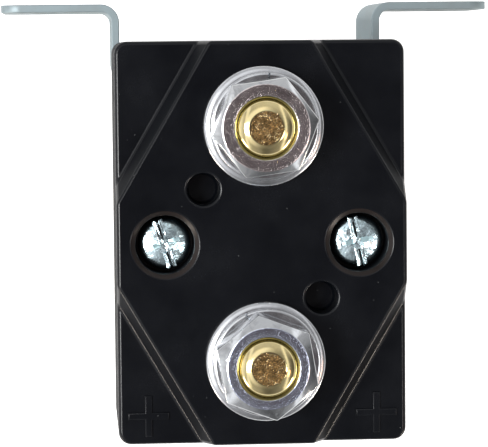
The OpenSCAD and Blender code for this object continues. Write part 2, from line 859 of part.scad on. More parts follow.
module contact_bridge() {
    hole_d = spindle_top_d + 2 * slide_fit + 2 * bush_wall + 2 * seat_fit;
    color("#b8713a") difference() {
        translate([0, 0, bridge_z]) linear_extrude(bridge_t)
            rounded_rect(bridge_w, stud_spacing + 2 * bridge_end, corner_r);
        translate([0, 0, bridge_z - over]) cylinder(d = hole_d, h = bridge_t + 2 * over);
    }
}

module bridge_tips() {
    color("#d9dadb") at_studs() translate([0, 0, bridge_tip_z])
        cylinder(d = bridge_tip_d, h = bridge_tip_t);
}

module contact_bush() {
    bore_d = spindle_top_d + 2 * slide_fit;
    color("#e6e2d6") {
        translate([0, 0, bush_z]) ring(bush_flange_d, bore_d, bush_flange_t);
        translate([0, 0, bridge_z]) ring(bore_d + 2 * bush_wall, bore_d, bridge_t);
    }
}

module bush_washer() {
    color("#e6e2d6") translate([0, 0, bush_washer_z])
        ring(bush_flange_d, spindle_top_d + 2 * slide_fit, bush_washer_t);
}

// Mounting bracket

module rivet_bores() {
    for (s = [-1, 1])
        translate([s * rivet_spacing / 2, web_y - plate_t - over, strip_mid_z]) rotate([-90, 0, 0])
            cylinder(d = rivet_d + 2 * seat_fit, h = plate_t + sheet_t + 2 * over);
}

// Outline of the bent bracket strip, seen along the studs
module bracket_outline() {
    bend = bracket_bend_r + sheet_t;
    for (s = [0, 1]) mirror([s, 0, 0]) {
        translate([0, web_y]) square([bracket_w / 2 - bend, sheet_t]);
        translate([bracket_w / 2 - bend, web_y + bend]) mirror([0, 1, 0])
            sheet_bend(bracket_bend_r, sheet_t);
        translate([leg_x, web_y + bend]) square([sheet_t, bracket_depth - 2 * bend]);
        translate([leg_x + bend, mount_y - bend]) mirror([1, 0, 0])
            sheet_bend(bracket_bend_r, sheet_t);
        translate([leg_x + bend, mount_y - sheet_t])
            square([bracket_span / 2 - leg_x - bend, sheet_t]);
    }
}

module mounting_bracket() {
    color("#a9b6c0") difference() {
        intersection() {
            translate([0, 0, strip_z]) linear_extrude(strip_h) bracket_outline();
            translate([0, web_y - over, strip_mid_z]) rotate([-90, 0, 0])
                linear_extrude(bracket_depth + 2 * over)
                    rounded_rect(bracket_span, strip_h, foot_corner_r);
        }
        for (s = [-1, 1])
            translate([s * fixing_spacing / 2, mount_y - sheet_t - over, strip_mid_z])
                rotate([-90, 0, 0]) cylinder(d = fixing_d, h = sheet_t + 2 * over);
        rivet_bores();
    }
}

module bracket_rivets() {
    color("#c4c8cc") for (s = [-1, 1])
        translate([s * rivet_spacing / 2, web_y, strip_mid_z]) rotate([-90, 0, 0]) {
            translate([0, 0, seat_fit - plate_t])
                cylinder(d = rivet_d, h = plate_t + sheet_t - seat_fit);
            rotate_extrude() polygon(concat(
                [[0, sheet_t], [rivet_head_d / 2, sheet_t]],
                dome(rivet_head_d / 2, rivet_d / 4, rivet_head_h, sheet_t + rivet_head_h),
                [[0, sheet_t + rivet_head_h]]
            ));
        }
}

echo(
    return_spring_gap = wire_gap(
        wire_path((return_spring_d - return_wire) / 2, return_spring_h - return_wire,
            return_turns, 8), return_wire, 8),
    contact_spring_gap = wire_gap(
        wire_path((contact_spring_d - contact_wire) / 2, contact_spring_h - contact_wire,
            contact_turns, 8), contact_wire, 8)
);

housing();
chamber_base();
terminal_studs();
fixed_contact_tips();
stud_flat_washers();
stud_spring_washers();
stud_nuts();
cover_screws();
screw_spring_washers();
blowout_magnets();
top_plate();
yoke();
bobbin();
coil_winding();
coil_tape();
coil_terminals();
coil_leads();
guide_sleeve();
fixed_pole();
plunger();
spindle();
plunger_stop();
return_spring();
spring_seat();
contact_spring();
contact_bridge();
bridge_tips();
contact_bush();
bush_washer();
spindle_clip();
mounting_bracket();
bracket_rivets();
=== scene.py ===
"""Looks of a small DC contactor with two stud terminals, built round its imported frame."""

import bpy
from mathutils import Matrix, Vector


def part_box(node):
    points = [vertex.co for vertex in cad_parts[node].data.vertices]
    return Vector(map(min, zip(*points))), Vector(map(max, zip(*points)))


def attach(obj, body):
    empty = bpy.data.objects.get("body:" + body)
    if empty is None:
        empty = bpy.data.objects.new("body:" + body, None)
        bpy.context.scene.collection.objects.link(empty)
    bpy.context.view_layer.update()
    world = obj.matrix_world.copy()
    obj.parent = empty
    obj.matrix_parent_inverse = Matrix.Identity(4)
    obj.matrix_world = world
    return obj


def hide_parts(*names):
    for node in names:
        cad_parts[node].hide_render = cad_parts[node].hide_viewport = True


bl_info = {
    "name": "DC contactor with stud terminals",
    "version": (1, 0, 0),
    "blender": (4, 5, 0),
    "location": "3D View > Sidebar > Contactor",
    "description": "Builds a DC contactor, its studio floor, lamps and camera",
    "category": "Add Mesh",
}

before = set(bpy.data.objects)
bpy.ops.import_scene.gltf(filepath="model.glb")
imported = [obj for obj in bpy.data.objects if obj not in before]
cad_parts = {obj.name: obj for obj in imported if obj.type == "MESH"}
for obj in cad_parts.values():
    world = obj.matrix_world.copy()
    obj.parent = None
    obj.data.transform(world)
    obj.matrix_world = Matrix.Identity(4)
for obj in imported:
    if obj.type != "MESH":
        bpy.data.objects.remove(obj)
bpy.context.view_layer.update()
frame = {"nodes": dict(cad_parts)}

import math
import random

import bmesh
import bpy
from bpy.props import FloatProperty, FloatVectorProperty, IntProperty, PointerProperty
from mathutils import Matrix, Vector

MM = 0.001
ROOT_BODY = "magnet_frame"
SCREW_SPACING = 27.6


# Sizes taken from the frame, in millimetres

def cad(node):
    """Lowest and highest corner of a CAD node, in millimetres."""
    low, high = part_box(node)
    return Vector(low) / MM, Vector(high) / MM


def stud_offset():
    """Distance of each stud from the middle."""
    low, high = cad("stud_flat_washers")
    return (high.y - low.y) / 2 - (high.x - low.x) / 2


def cover_screw_r():
    """Radius of the cover screws' heads."""
    low, high = cad("cover_screws")
    return (high.x - low.x - SCREW_SPACING) / 2


# Outlines and profiles

def arc(centre, radius, start, end, steps):
    """Points on an arc from one angle to another, in degrees."""
    points = []
    for i in range(steps + 1):
        angle = math.radians(start + (end - start) * i / steps)
        points.append((centre[0] + radius * math.cos(angle), centre[1] + radius * math.sin(angle)))
    return points


def rounded_rect(width, length, radius, steps=7):
    """Outline of a rectangle with rounded corners, round the origin."""
    x, y = width / 2 - radius, length / 2 - radius
    points = []
    for turn, sx, sy in ((0, 1, 1), (90, -1, 1), (180, -1, -1), (270, 1, -1)):
        points += arc((sx * x, sy * y), radius, turn, turn + 90, steps)
    return points


def moved(outline, x, y):
    """The outline, moved."""
    return [(px + x, py + y) for px, py in outline]


# Solids

def skin(bm, rings):
    """Four-sided faces between each ring of corners and the next."""
    for one, other in zip(rings, rings[1:]):
        for i in range(len(one)):
            j = (i + 1) % len(one)
            bm.faces.new((one[i], one[j], other[j], other[i]))
    bmesh.ops.recalc_face_normals(bm, faces=bm.faces)
    return bm


def prism(outline, low, high):
    """Solid between two levels over an outline."""
    bm = bmesh.new()
    bottom = [bm.verts.new((x, y, low)) for x, y in outline]
    top = [bm.verts.new((x, y, high)) for x, y in outline]
    bm.faces.new(list(reversed(bottom)))
    bm.faces.new(top)
    return skin(bm, (bottom, top))


def lathe(profile, segments=96, start=0.0, sweep=360.0, closed=False):
    """Solid turned about the Z axis from (radius, height) points. A closed profile is a ring."""
    bm = bmesh.new()
    whole = sweep >= 360.0
    columns = segments if whole else segments + 1
    rings = []
    for radius, height in profile:
        if radius < 1e-9:
            rings.append([bm.verts.new((0, 0, height))] * columns)
            continue
        ring = []
        for i in range(columns):
            angle = math.radians(start + sweep * i / segments)
            ring.append(bm.verts.new((radius * math.cos(angle), radius * math.sin(angle), height)))
        rings.append(ring)
    pairs = list(zip(rings, rings[1:]))
    if closed:
        pairs.append((rings[-1], rings[0]))
    for low, high in pairs:
        for i in range(segments):
            j = (i + 1) % columns
            corners = []
            for vert in (low[i], low[j], high[j], high[i]):
                if vert not in corners:
                    corners.append(vert)
            if len(corners) > 2:
                bm.faces.new(corners)
    if closed and not whole:
        bm.faces.new([ring[0] for ring in rings])
        bm.faces.new([ring[-1] for ring in reversed(rings)])
    bmesh.ops.recalc_face_normals(bm, faces=bm.faces)
    return bm


def ring_profile(inner, outer, low, high, top_round, edge_round, roll):
    """Closed section of a ring with rounded edges. The roll stretches the top round inwards."""
    points = [(inner, low + edge_round), (inner + edge_round, low)]
    points += arc((outer - edge_round, low + edge_round), edge_round, 270, 360, 6)
    points += [(outer - (outer - x) * roll, z)
               for x, z in arc((outer - top_round, high - top_round), top_round, 0, 90, 9)]
    points += arc((inner + edge_round, high - edge_round), edge_round, 90, 180, 6)
    return points


def rod(radius, low, high, segments=64):
    """Plain round solid about the Z axis."""
    return lathe([(0, low), (radius, low), (radius, high), (0, high)], segments)


def hull(points):
    """Solid over the outermost of some points."""
    bm = bmesh.new()
    verts = [bm.verts.new(point) for point in points]
    result = bmesh.ops.convex_hull(bm, input=verts)
    bmesh.ops.delete(bm, geom=[g for g in result["geom_interior"] + result["geom_unused"]
                               if isinstance(g, bmesh.types.BMVert)], context="VERTS")
    bmesh.ops.recalc_face_normals(bm, faces=bm.faces)
    return bm


def join_bm(target, other):
    """Adds the second mesh to the first as it is."""
    mesh = bpy.data.meshes.new("join")
    other.to_mesh(mesh)
    target.from_mesh(mesh)
    bpy.data.meshes.remove(mesh)
    other.free()
    return target


def shifted(bm, x=0.0, y=0.0, z=0.0):
    """The mesh, moved."""
    bmesh.ops.translate(bm, verts=bm.verts, vec=(x, y, z))
    return bm


def spun(bm, degrees, axis="Z"):
    """The mesh, turned about an axis through the origin."""
    bmesh.ops.rotate(bm, verts=bm.verts, matrix=Matrix.Rotation(math.radians(degrees), 3, axis))
    return bm


def opened(obj):
    """The object's mesh for more work, with the object itself removed."""
    bm = bmesh.new()
    bm.from_mesh(obj.data)
    drop(obj)
    return bm


# Objects

def loose(bm, name):
    """Object in millimetres that is still worked on."""
    mesh = bpy.data.meshes.new(name)
    bm.to_mesh(mesh)
    bm.free()
    obj = bpy.data.objects.new(name, mesh)
    bpy.context.scene.collection.objects.link(obj)
    return obj


def drop(obj):
    """Removes a helper object and its mesh."""
    mesh = obj.data
    bpy.data.objects.remove(obj)
    bpy.data.meshes.remove(mesh)


def settle(obj):
    """Makes the modifiers' result the object's own mesh."""
    graph = bpy.context.evaluated_depsgraph_get()
    mesh = bpy.data.meshes.new_from_object(obj.evaluated_get(graph))
    obj.modifiers.clear()
    old = obj.data
    obj.data = mesh
    bpy.data.meshes.remove(old)


def combine(target, cutter, operation="DIFFERENCE"):
    """Cuts, joins or keeps the shared part of two solids, and removes the second."""
    if not isinstance(cutter, bpy.types.Object):
        cutter = loose(cutter, "cutter")
    modifier = target.modifiers.new("Combine", "BOOLEAN")
    modifier.solver = "EXACT"
    modifier.operation = operation
    modifier.object = cutter
    settle(target)
    drop(cutter)
    if not target.data.polygons:
        raise RuntimeError(f"{target.name} was lost in a cut")
    return target


def weight_edges(obj, rule):
    """Writes the bevel weight of each edge, from a rule on the edge and its two faces."""
    bm = bmesh.new()
    bm.from_mesh(obj.data)
    layer = bm.edges.layers.float.new("bevel_weight_edge")
    for edge in bm.edges:
        if len(edge.link_faces) == 2:
            edge[layer] = rule(edge, *edge.link_faces)
    bm.to_mesh(obj.data)
    bm.free()


def weighted_bevel(obj, width, segments):
    """Rounds the edges by their weights, at once."""
    modifier = obj.modifiers.new("Edges", "BEVEL")
    modifier.limit_method = "WEIGHT"
    modifier.offset_type = "OFFSET"
    modifier.width = width
    modifier.segments = segments
    modifier.miter_inner = "MITER_SHARP"
    settle(obj)


def soften(obj, width, segments=3, angle=30.0):
    """Rounds every edge that is sharper than the angle, with even shading on the flats."""
    if width:
        bevel = obj.modifiers.new("Edges", "BEVEL")
        bevel.limit_method = "ANGLE"
        bevel.angle_limit = math.radians(angle)
        bevel.width = width * MM
        bevel.segments = segments
        bevel.use_clamp_overlap = True
    normals = obj.modifiers.new("Flats", "WEIGHTED_NORMAL")
    normals.weight = 100
    normals.keep_sharp = True


def mark_sharp(mesh, angle):
    """Smooth shading, with a crease wherever two faces meet more sharply than the angle."""
    bm = bmesh.new()
    bm.from_mesh(mesh)
    limit = math.radians(angle)
    for face in bm.faces:
        face.smooth = True
    for edge in bm.edges:
        edge.smooth = not (len(edge.link_faces) == 2 and edge.calc_face_angle(0.0) > limit)
    bm.to_mesh(mesh)
    bm.free()


def place(obj, name, nodes, materials, body=ROOT_BODY, bevel=0.0, sharp=40.0, segments=3):
    """Turns a worked object into a piece: metres, shading, finish and body, with its CAD nodes
    hidden.
    """
    obj.name = name
    obj.data.name = name
    obj.data.transform(Matrix.Scale(MM, 4))
    mark_sharp(obj.data, 180.0 if bevel else sharp)
    indices = [polygon.material_index for polygon in obj.data.polygons]
    obj.data.materials.clear()
    for material in materials:
        obj.data.materials.append(material)
    obj.data.polygons.foreach_set("material_index", indices)
    soften(obj, bevel, segments, sharp)
    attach(obj, body)
    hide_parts(*nodes)
    return obj


def dress(node, material, bevel=0.0, angle=30.0, segments=2):
    """Gives a CAD node its finish and rounds its edges, with the mesh itself left as it is."""
    obj = frame["nodes"][node]
    obj.data.materials.clear()
    obj.data.materials.append(material)
    if bevel:
        weld = obj.modifiers.new("Weld", "WELD")
        weld.merge_threshold = 1e-6
        flat = obj.modifiers.new("Flat faces", "DECIMATE")
        flat.decimate_type = "DISSOLVE"
        flat.angle_limit = math.radians(0.4)
        soften(obj, bevel, segments, angle)
    return obj


# Materials

class Tree:
    """Nodes and links of a material or of the world."""

    def __init__(self, owner):
        owner.use_nodes = True
        self.nodes, self.links = owner.node_tree.nodes, owner.node_tree.links

    def node(self, kind, **settings):
        """New node with these settings."""
        made = self.nodes.new(kind)
        for name, value in settings.items():
            setattr(made, name, value)
        return made

    def feed(self, target, value):
        """Puts a number, a colour or another node's output into a socket."""
        if isinstance(value, (int, float)):
            target.default_value = value
        elif isinstance(value, (tuple, list)):
            target.default_value = (*value[:3], 1.0)
        else:
            self.links.new(value, target)

    def ramp(self, source, stops):
        """Colours along a value."""
        made = self.node("ShaderNodeValToRGB")
        elements = made.color_ramp.elements
        while len(elements) < len(stops):
            elements.new(0.5)
        for element, (at, colour) in zip(elements, stops):
            element.position = at
            element.color = (*colour, 1.0)
        self.feed(made.inputs["Fac"], source)
        return made.outputs["Color"]

    def spread(self, source, low, high, start=0.0, end=1.0):
        """A value carried over to a new range."""
        made = self.node("ShaderNodeMapRange")
        for name, value in (("Value", source), ("From Min", start), ("From Max", end),
                            ("To Min", low), ("To Max", high)):
            self.feed(made.inputs[name], value)
        return made.outputs["Result"]

    def math(self, operation, first, second):
        """Sum, product or comparison of two values."""
        made = self.node("ShaderNodeMath", operation=operation)
        self.feed(made.inputs[0], first)
        self.feed(made.inputs[1], second)
        return made.outputs["Value"]

    def mix(self, factor, first, second, blend="MIX"):
        """Two colours mixed or blended."""
        made = self.node("ShaderNodeMix", data_type="RGBA", blend_type=blend)
        for socket, value in ((0, factor), (6, first), (7, second)):
            self.feed(made.inputs[socket], value)
        return made.outputs[2]

    def shaders(self, kind, *sources):
        """Mixes or adds shaders. A mix takes its factor first."""
        made = self.node(kind)
        for socket, source in enumerate(sources):
            self.feed(made.inputs[socket], source)
        return made.outputs[0]


class Finish(Tree):
    """A material in the making."""

    def __init__(self, name, **values):
        self.material = bpy.data.materials.new(name)
        super().__init__(self.material)
        self.shader = self.nodes["Principled BSDF"]
        self.place = self.nodes.new("ShaderNodeTexCoord").outputs["Object"]
        for socket, value in values.items():
            self.feed(self.shader.inputs[socket.replace("_", " ")], value)

    def stretched(self, scale, turn=(0, 0, 0)):
        """Object coordinates, stretched and turned."""
        mapping = self.node("ShaderNodeMapping")
        mapping.inputs["Scale"].default_value = scale
        mapping.inputs["Rotation"].default_value = [math.radians(a) for a in turn]
        self.feed(mapping.inputs["Vector"], self.place)
        return mapping.outputs["Vector"]

    def noise(self, grain, detail=4.0, rough=0.55, vector=None, distortion=0.0):
        """Noise whose grains are this many millimetres across."""
        made = self.node("ShaderNodeTexNoise")
        for name, value in (("Scale", 1 / (grain * MM)), ("Detail", detail), ("Roughness", rough),
                            ("Distortion", distortion), ("Vector", vector or self.place)):
            self.feed(made.inputs[name], value)
        return made.outputs["Fac"]

    def cells(self, size):
        """Distance from the middles of cells of this size in millimetres."""
        made = self.node("ShaderNodeTexVoronoi")
        made.inputs["Scale"].default_value = 1 / (size * MM)
        self.feed(made.inputs["Vector"], self.place)
        return made.outputs["Distance"]

    def bands(self, pitch):
        """Wave along Z for the turns of a winding, as a node."""
        made = self.node("ShaderNodeTexWave", wave_type="BANDS", bands_direction="Z",
                         wave_profile="SIN")
        made.inputs["Scale"].default_value = 1 / (pitch * MM) / 6.283
        self.feed(made.inputs["Vector"], self.place)
        return made

    def colour(self, source):
        """Feeds the base colour."""
        self.feed(self.shader.inputs["Base Color"], source)

    def roughness(self, source):
        """Feeds the roughness."""
        self.feed(self.shader.inputs["Roughness"], source)

    def bump(self, layers):
        """Bumps one on another: (height, depth in millimetres) pairs."""
        normal = None
        for height, depth in layers:
            made = self.node("ShaderNodeBump")
            made.inputs["Strength"].default_value = 1.0
            made.inputs["Distance"].default_value = depth * MM
            self.feed(made.inputs["Height"], height)
            if normal:
                self.feed(made.inputs["Normal"], normal)
            normal = made.outputs["Normal"]
        self.feed(self.shader.inputs["Normal"], normal)


def shade(colour, factor):
    """The colour, lighter or darker."""
    return tuple(min(max(c * factor, 0.0), 1.0) for c in colour[:3])


def moulded_plastic(name, colour, gloss, dust, mirror=0.32):
    """Moulded plastic with a fine texture, cloudy gloss and a few specks of dust."""
    f = Finish(name, Metallic=0.0, IOR=1.47, Specular_IOR_Level=mirror)
    cloud = f.noise(9.0, 3.0)
    fine = f.noise(0.16, 3.0, 0.6)
    base = f.ramp(cloud, ((0.3, shade(colour, 0.85)), (0.75, shade(colour, 1.2))))
    if dust:
        size = f.spread(f.noise(0.5, 1.0), 0.012, 0.075)
        near = f.math("LESS_THAN", f.cells(1.15), size)
        some = f.math("GREATER_THAN", f.noise(1.9, 2.0), 0.565)
        speck = f.math("MULTIPLY", near, some)
        base = f.mix(f.math("MULTIPLY", speck, dust), base, (0.19, 0.2, 0.2))
    f.colour(base)
    f.roughness(f.spread(f.math("ADD", cloud, f.math("MULTIPLY", fine, 0.35)),
                         gloss - 0.07, gloss + 0.09, 0.35, 1.05))
    f.bump(((f.noise(2.6, 2.0), 0.006), (fine, 0.0035)))
    return f.material


def plated_metal(name, colour, gloss, tint=(1.0, 1.0, 1.0), cloud=4.0, scratch=0.0025, nick=0.0,
                 spread=0.06, stain=None, stain_from=0.62, dent=0.0):
    """Bare or plated metal with clouded colour, fine scratches, small nicks and shallow dents."""
    f = Finish(name, Metallic=1.0)
    patches = f.noise(cloud, 4.0, 0.6)
    tinted = [c * t for c, t in zip(colour, tint)]
    base = f.ramp(patches, ((0.3, shade(colour, 0.86)), (0.55, tinted),
                            (0.8, shade(colour, 1.08))))
    if stain:
        blots = f.noise(cloud * 0.45, 5.0, 0.7, distortion=0.6)
        base = f.mix(f.spread(blots, 0.0, 1.0, stain_from, 0.74), base, stain)
    f.colour(base)
    fine = f.noise(0.12, 2.0)
    lines = f.noise(0.35, 3.0, 0.6, f.stretched((1.0, 14.0, 1.0), (20, 35, 28)))
    f.roughness(f.spread(f.math("ADD", patches, f.math("MULTIPLY", lines, 0.5)),
                         gloss - spread, gloss + spread, 0.45, 1.05))
    layers = [(lines, scratch), (fine, scratch * 0.6)]
    if dent:
        layers.append((f.noise(1.3, 2.0), dent))
    if nick:
        pits = f.spread(f.cells(1.3), 0.0, 1.0, 0.03, 0.12)
        layers.append((pits, nick))
    f.bump(layers)
    return f.material


def rough_end(name, colour):
    """Sheared, brown end of a stud, with small bright grains painted in as glints."""
    f = Finish(name, Metallic=1.0)
    patches = f.noise(1.1, 4.0, 0.65)
    grain = f.noise(0.16, 3.0, 0.7)
    mottle = f.math("ADD", f.math("MULTIPLY", patches, 0.35),
                    f.math("MULTIPLY", f.noise(0.19, 3.0), 0.65))
    base = f.ramp(mottle, ((0.37, shade(colour, 0.22)), (0.5, colour), (0.61, shade(colour, 2.3))))
    base = f.mix(f.spread(grain, 0.0, 0.85, 0.5, 0.64), base, shade(colour, 0.25))
    # Small bright spots on the tip are painted glints
    painted_glints = f.math("LESS_THAN", f.cells(0.17), f.spread(f.noise(0.9, 2.0), 0.0, 0.5, 0.4, 0.72))
    f.colour(f.mix(painted_glints, base, (0.9, 0.74, 0.46)))
    f.roughness(f.spread(grain, 0.16, 0.42, 0.3, 0.7))
    f.bump(((patches, 0.08), (grain, 0.13)))
    return f.material


def nut_finish(name, colour, tints, gloss, grain=0.0):
    """Bright plating, tinted differently on the two nuts, with pinholes and small nicks."""
    f = Finish(name, Metallic=1.0)
    split = f.node("ShaderNodeSeparateXYZ")
    f.feed(split.inputs["Vector"], f.place)
    upper = f.math("GREATER_THAN", split.outputs["Y"], 0.0)
    tint = f.mix(upper, *([c * t for c, t in zip(colour, tone)] for tone in tints))
    stains = f.spread(f.noise(1.7, 5.0, 0.7, distortion=0.8), 0.0, 0.5, 0.5, 0.72)
    f.colour(f.mix(stains, tint, shade(colour, 0.5)))
    lines = f.noise(0.3, 3.0, 0.6, f.stretched((1.0, 12.0, 1.0), (0, 0, 35)))
    f.roughness(f.spread(f.math("ADD", f.noise(2.2, 3.0), f.math("MULTIPLY", lines, 0.5)),
                         gloss, gloss + 0.12, 0.45, 1.05))
    pins = f.math("LESS_THAN", f.cells(0.55), f.spread(f.noise(0.8, 2.0), 0.0, 0.24, 0.45, 0.8))
    dents = f.spread(f.cells(1.7), 0.0, 1.0, 0.04, 0.2)
    f.bump(((dents, 0.02), (pins, 0.016), (lines, 0.0016), (f.noise(0.3, 3.0, 0.6), grain)))
    return f.material


def soft_rubber(name, colour):
    """Matt rubber."""
    f = Finish(name, Metallic=0.0, Specular_IOR_Level=0.3)
    grain = f.noise(0.4, 4.0)
    f.colour(f.ramp(grain, ((0.3, shade(colour, 0.8)), (0.8, shade(colour, 1.25)))))
    f.roughness(f.spread(grain, 0.62, 0.82))
    f.bump(((grain, 0.02),))
    return f.material


def wound_tape(name, colour):
    """Polyester tape over a winding, with the wires pressing through it."""
    f = Finish(name, Metallic=0.0, IOR=1.5, Coat_Weight=0.35, Coat_Roughness=0.18)
    patches = f.noise(6.0, 3.0)
    f.colour(f.ramp(patches, ((0.3, shade(colour, 0.84)), (0.75, shade(colour, 1.1)))))
    turns = f.bands(0.62)
    turns.inputs["Distortion"].default_value = 0.25
    f.roughness(f.spread(patches, 0.3, 0.46))
    f.bump(((turns.outputs["Fac"], 0.03), (f.noise(3.0, 3.0), 0.05)))
    return f.material


def wound_copper(name, colour):
    """Layers of enamelled wire, with painted shade in the grooves between the turns."""
    f = Finish(name, Metallic=1.0)
    turns = f.bands(0.5)
    # Darker half of each turn, where the bump is lowest, is painted shade in the grooves
    f.colour(f.ramp(turns.outputs["Fac"], ((0.0, shade(colour, 0.4)), (0.5, colour))))
    f.roughness(f.spread(f.noise(1.5), 0.22, 0.36))
    f.bump(((turns.outputs["Fac"], 0.12),))
    return f.material


FINISHES = {}


def finish(name):
    """The named finish, made when it is first asked for."""
    if name not in FINISHES:
        FINISHES[name] = FINISH_MAKERS[name](bpy.context.scene.contactor_colours)
    return FINISHES[name]


FINISH_MAKERS = {
    "moulding": lambda c: moulded_plastic("Black moulding", c.moulding, 0.24, 1.0),
    "moulding_side": lambda c: moulded_plastic("Moulding sides", c.moulding, 0.58, 0.5, 0.16),
    # Counterbore rims: the black moulding with a brownish tint that is a painted warm reflection
    "moulding_rim_painted_reflection": lambda c: moulded_plastic("Counterbore rims", (0.0125, 0.0078, 0.0064), 0.34,
                                              0.0, 0.4),
    "moulding_base": lambda c: moulded_plastic("Base moulding", c.moulding, 0.36, 0.0),
    "bobbin_plastic": lambda c: moulded_plastic("Bobbin plastic", c.bobbin, 0.42, 0.0),
    "insulator": lambda c: moulded_plastic("Insulator", c.insulator, 0.45, 0.0),
    "stud_brass": lambda c: plated_metal("Stud brass", c.stud, 0.12, (1.0, 0.97, 0.9), 2.5, 0.002),
    "stud_end": lambda c: rough_end("Stud end", c.stud_end),
    "nut_plating": lambda c: nut_finish("Nut plating", c.nut,
                                        ((0.97, 1.0, 1.0), (0.98, 1.0, 0.99)), 0.07),
    "nut_face": lambda c: nut_finish("Nut faces", c.nut,
                                     ((0.9, 0.95, 1.12), (1.02, 0.91, 0.88)), 0.1, 0.04),
    # Nut countersink: yellowish plating, darkened as painted shade for the gap round the stud
    "nut_sink_painted_shade": lambda c: plated_metal("Nut countersink", (0.42, 0.4, 0.24), 0.2, nick=0.004),
    "washer_plating": lambda c: plated_metal("Washer plating", c.washer, 0.22, (0.98, 0.99, 1.0),
                                             3.0, 0.0007, 0.003, dent=0.015),
    "screw_plating": lambda c: plated_metal("Screw plating", c.screw, 0.2, (0.94, 1.0, 1.02), 1.6,
                                            0.004, 0.01, stain=(0.4, 0.39, 0.36), stain_from=0.56,
                                            dent=0.12),
    # Screw slot: near-black, a painted shade in a slot of the same metal as the head
    "screw_slot_painted_shade": lambda c: plated_metal("Screw slot", shade(c.screw, 0.05), 0.5),
    # Cross recess arms: darker, tealer tone, a painted shade in the recess
    "screw_recess_painted_shade": lambda c: plated_metal("Screw recess", (0.6, 0.84, 0.89), 0.34),
    "frame_steel": lambda c: plated_metal("Frame steel", c.frame, 0.33, (1.0, 0.99, 0.96), 7.0,
                                          0.003, 0.006, 0.08),
    "bracket_zinc": lambda c: plated_metal("Bracket zinc", c.bracket, 0.58, (0.96, 1.0, 1.02), 6.0,
                                           0.0025, 0.004, 0.08),
    "silver": lambda c: plated_metal("Contact silver", (0.82, 0.81, 0.78), 0.3),
    "magnet": lambda c: plated_metal("Magnet", (0.2, 0.2, 0.22), 0.38),
    "copper": lambda c: plated_metal("Bridge copper", (0.75, 0.36, 0.2), 0.3,
                                     stain=(0.36, 0.15, 0.08)),
    "winding": lambda c: wound_copper("Winding copper", (0.72, 0.32, 0.14)),
    "tape": lambda c: wound_tape("Coil tape", c.tape),
    "tinned": lambda c: plated_metal("Tinned blades", (0.72, 0.72, 0.7), 0.24, nick=0.004),
    "lead_sleeve": lambda c: moulded_plastic("Lead sleeve", c.lead, 0.4, 0.0),
    "sleeve_brass": lambda c: plated_metal("Sleeve brass", (0.78, 0.56, 0.24), 0.25),
    "pole_steel": lambda c: plated_metal("Pole steel", (0.5, 0.51, 0.52), 0.32),
    "stainless": lambda c: plated_metal("Spindle steel", (0.66, 0.66, 0.65), 0.22),
    "rubber": lambda c: soft_rubber("Stop rubber", (0.02, 0.02, 0.02)),
    "spring_steel": lambda c: plated_metal("Spring steel", (0.55, 0.56, 0.57), 0.28, cloud=2.0,
                                           scratch=0.003),
    "clip_steel": lambda c: plated_metal("Clip steel", (0.12, 0.13, 0.14), 0.35),
}


# Values that a user would change

LENGTH = {"precision": 5, "unit": "LENGTH"}
COLOUR = {"subtype": "COLOR", "size": 3, "min": 0.0, "max": 1.0}


class ContactorSizes(bpy.types.PropertyGroup):
    """Sizes of the dressed pieces that the frame's boxes don't give."""

    face_step: FloatProperty(
        name="Face step", description="Height of the raised face above the four corners",
        default=0.0024, min=0.001, max=0.0035, **LENGTH)
    face_end: FloatProperty(
        name="Face end", description="Width of the raised face at the short sides",
        default=0.0143, min=0.01, max=0.018, **LENGTH)
    face_side: FloatProperty(
        name="Face side", description="Length of the raised face at the long sides",
        default=0.0112, min=0.0104, max=0.016, **LENGTH)
    step_run: FloatProperty(
        name="Step run", description="Horizontal run of the sloped wall of the step",
        default=0.00135, min=0.0008, max=0.002, **LENGTH)
    edge_radius: FloatProperty(
        name="Edge radius", description="Radius of the moulding's outer top edges",
        default=0.0006, min=0.0002, max=0.0009, **LENGTH)
    counterbore: FloatProperty(
        name="Counterbore", description="Diameter of the counterbores of the cover screws",
        default=0.0084, min=0.0082, max=0.0094, **LENGTH)
    rim: FloatProperty(
        name="Counterbore rim", description="Width of the chamfer at the rims of the counterbores",
        default=0.00065, min=0.0002, max=0.0008, **LENGTH)
    blank_hole: FloatProperty(
        name="Blank hole", description="Diameter of the two blank holes",
        default=0.0045, min=0.003, max=0.005, **LENGTH)
    nut_face: FloatProperty(
        name="Nut face", description="Diameter of the flat ring on the ends of the nuts",
        default=0.0116, min=0.0104, max=0.0124, **LENGTH)
    stud_tip: FloatProperty(
        name="Stud tip", description="Diameter of the flat, rough end of the studs",
        default=0.0046, min=0.003, max=0.005, **LENGTH)
    slot_width: FloatProperty(
        name="Screw slot", description="Width of the slots in the screw heads",
        default=0.00044, min=0.0004, max=0.0014, **LENGTH)
    seed: IntProperty(
        name="Seed", description="Seed of the small relief on the stud ends", default=11, min=0)


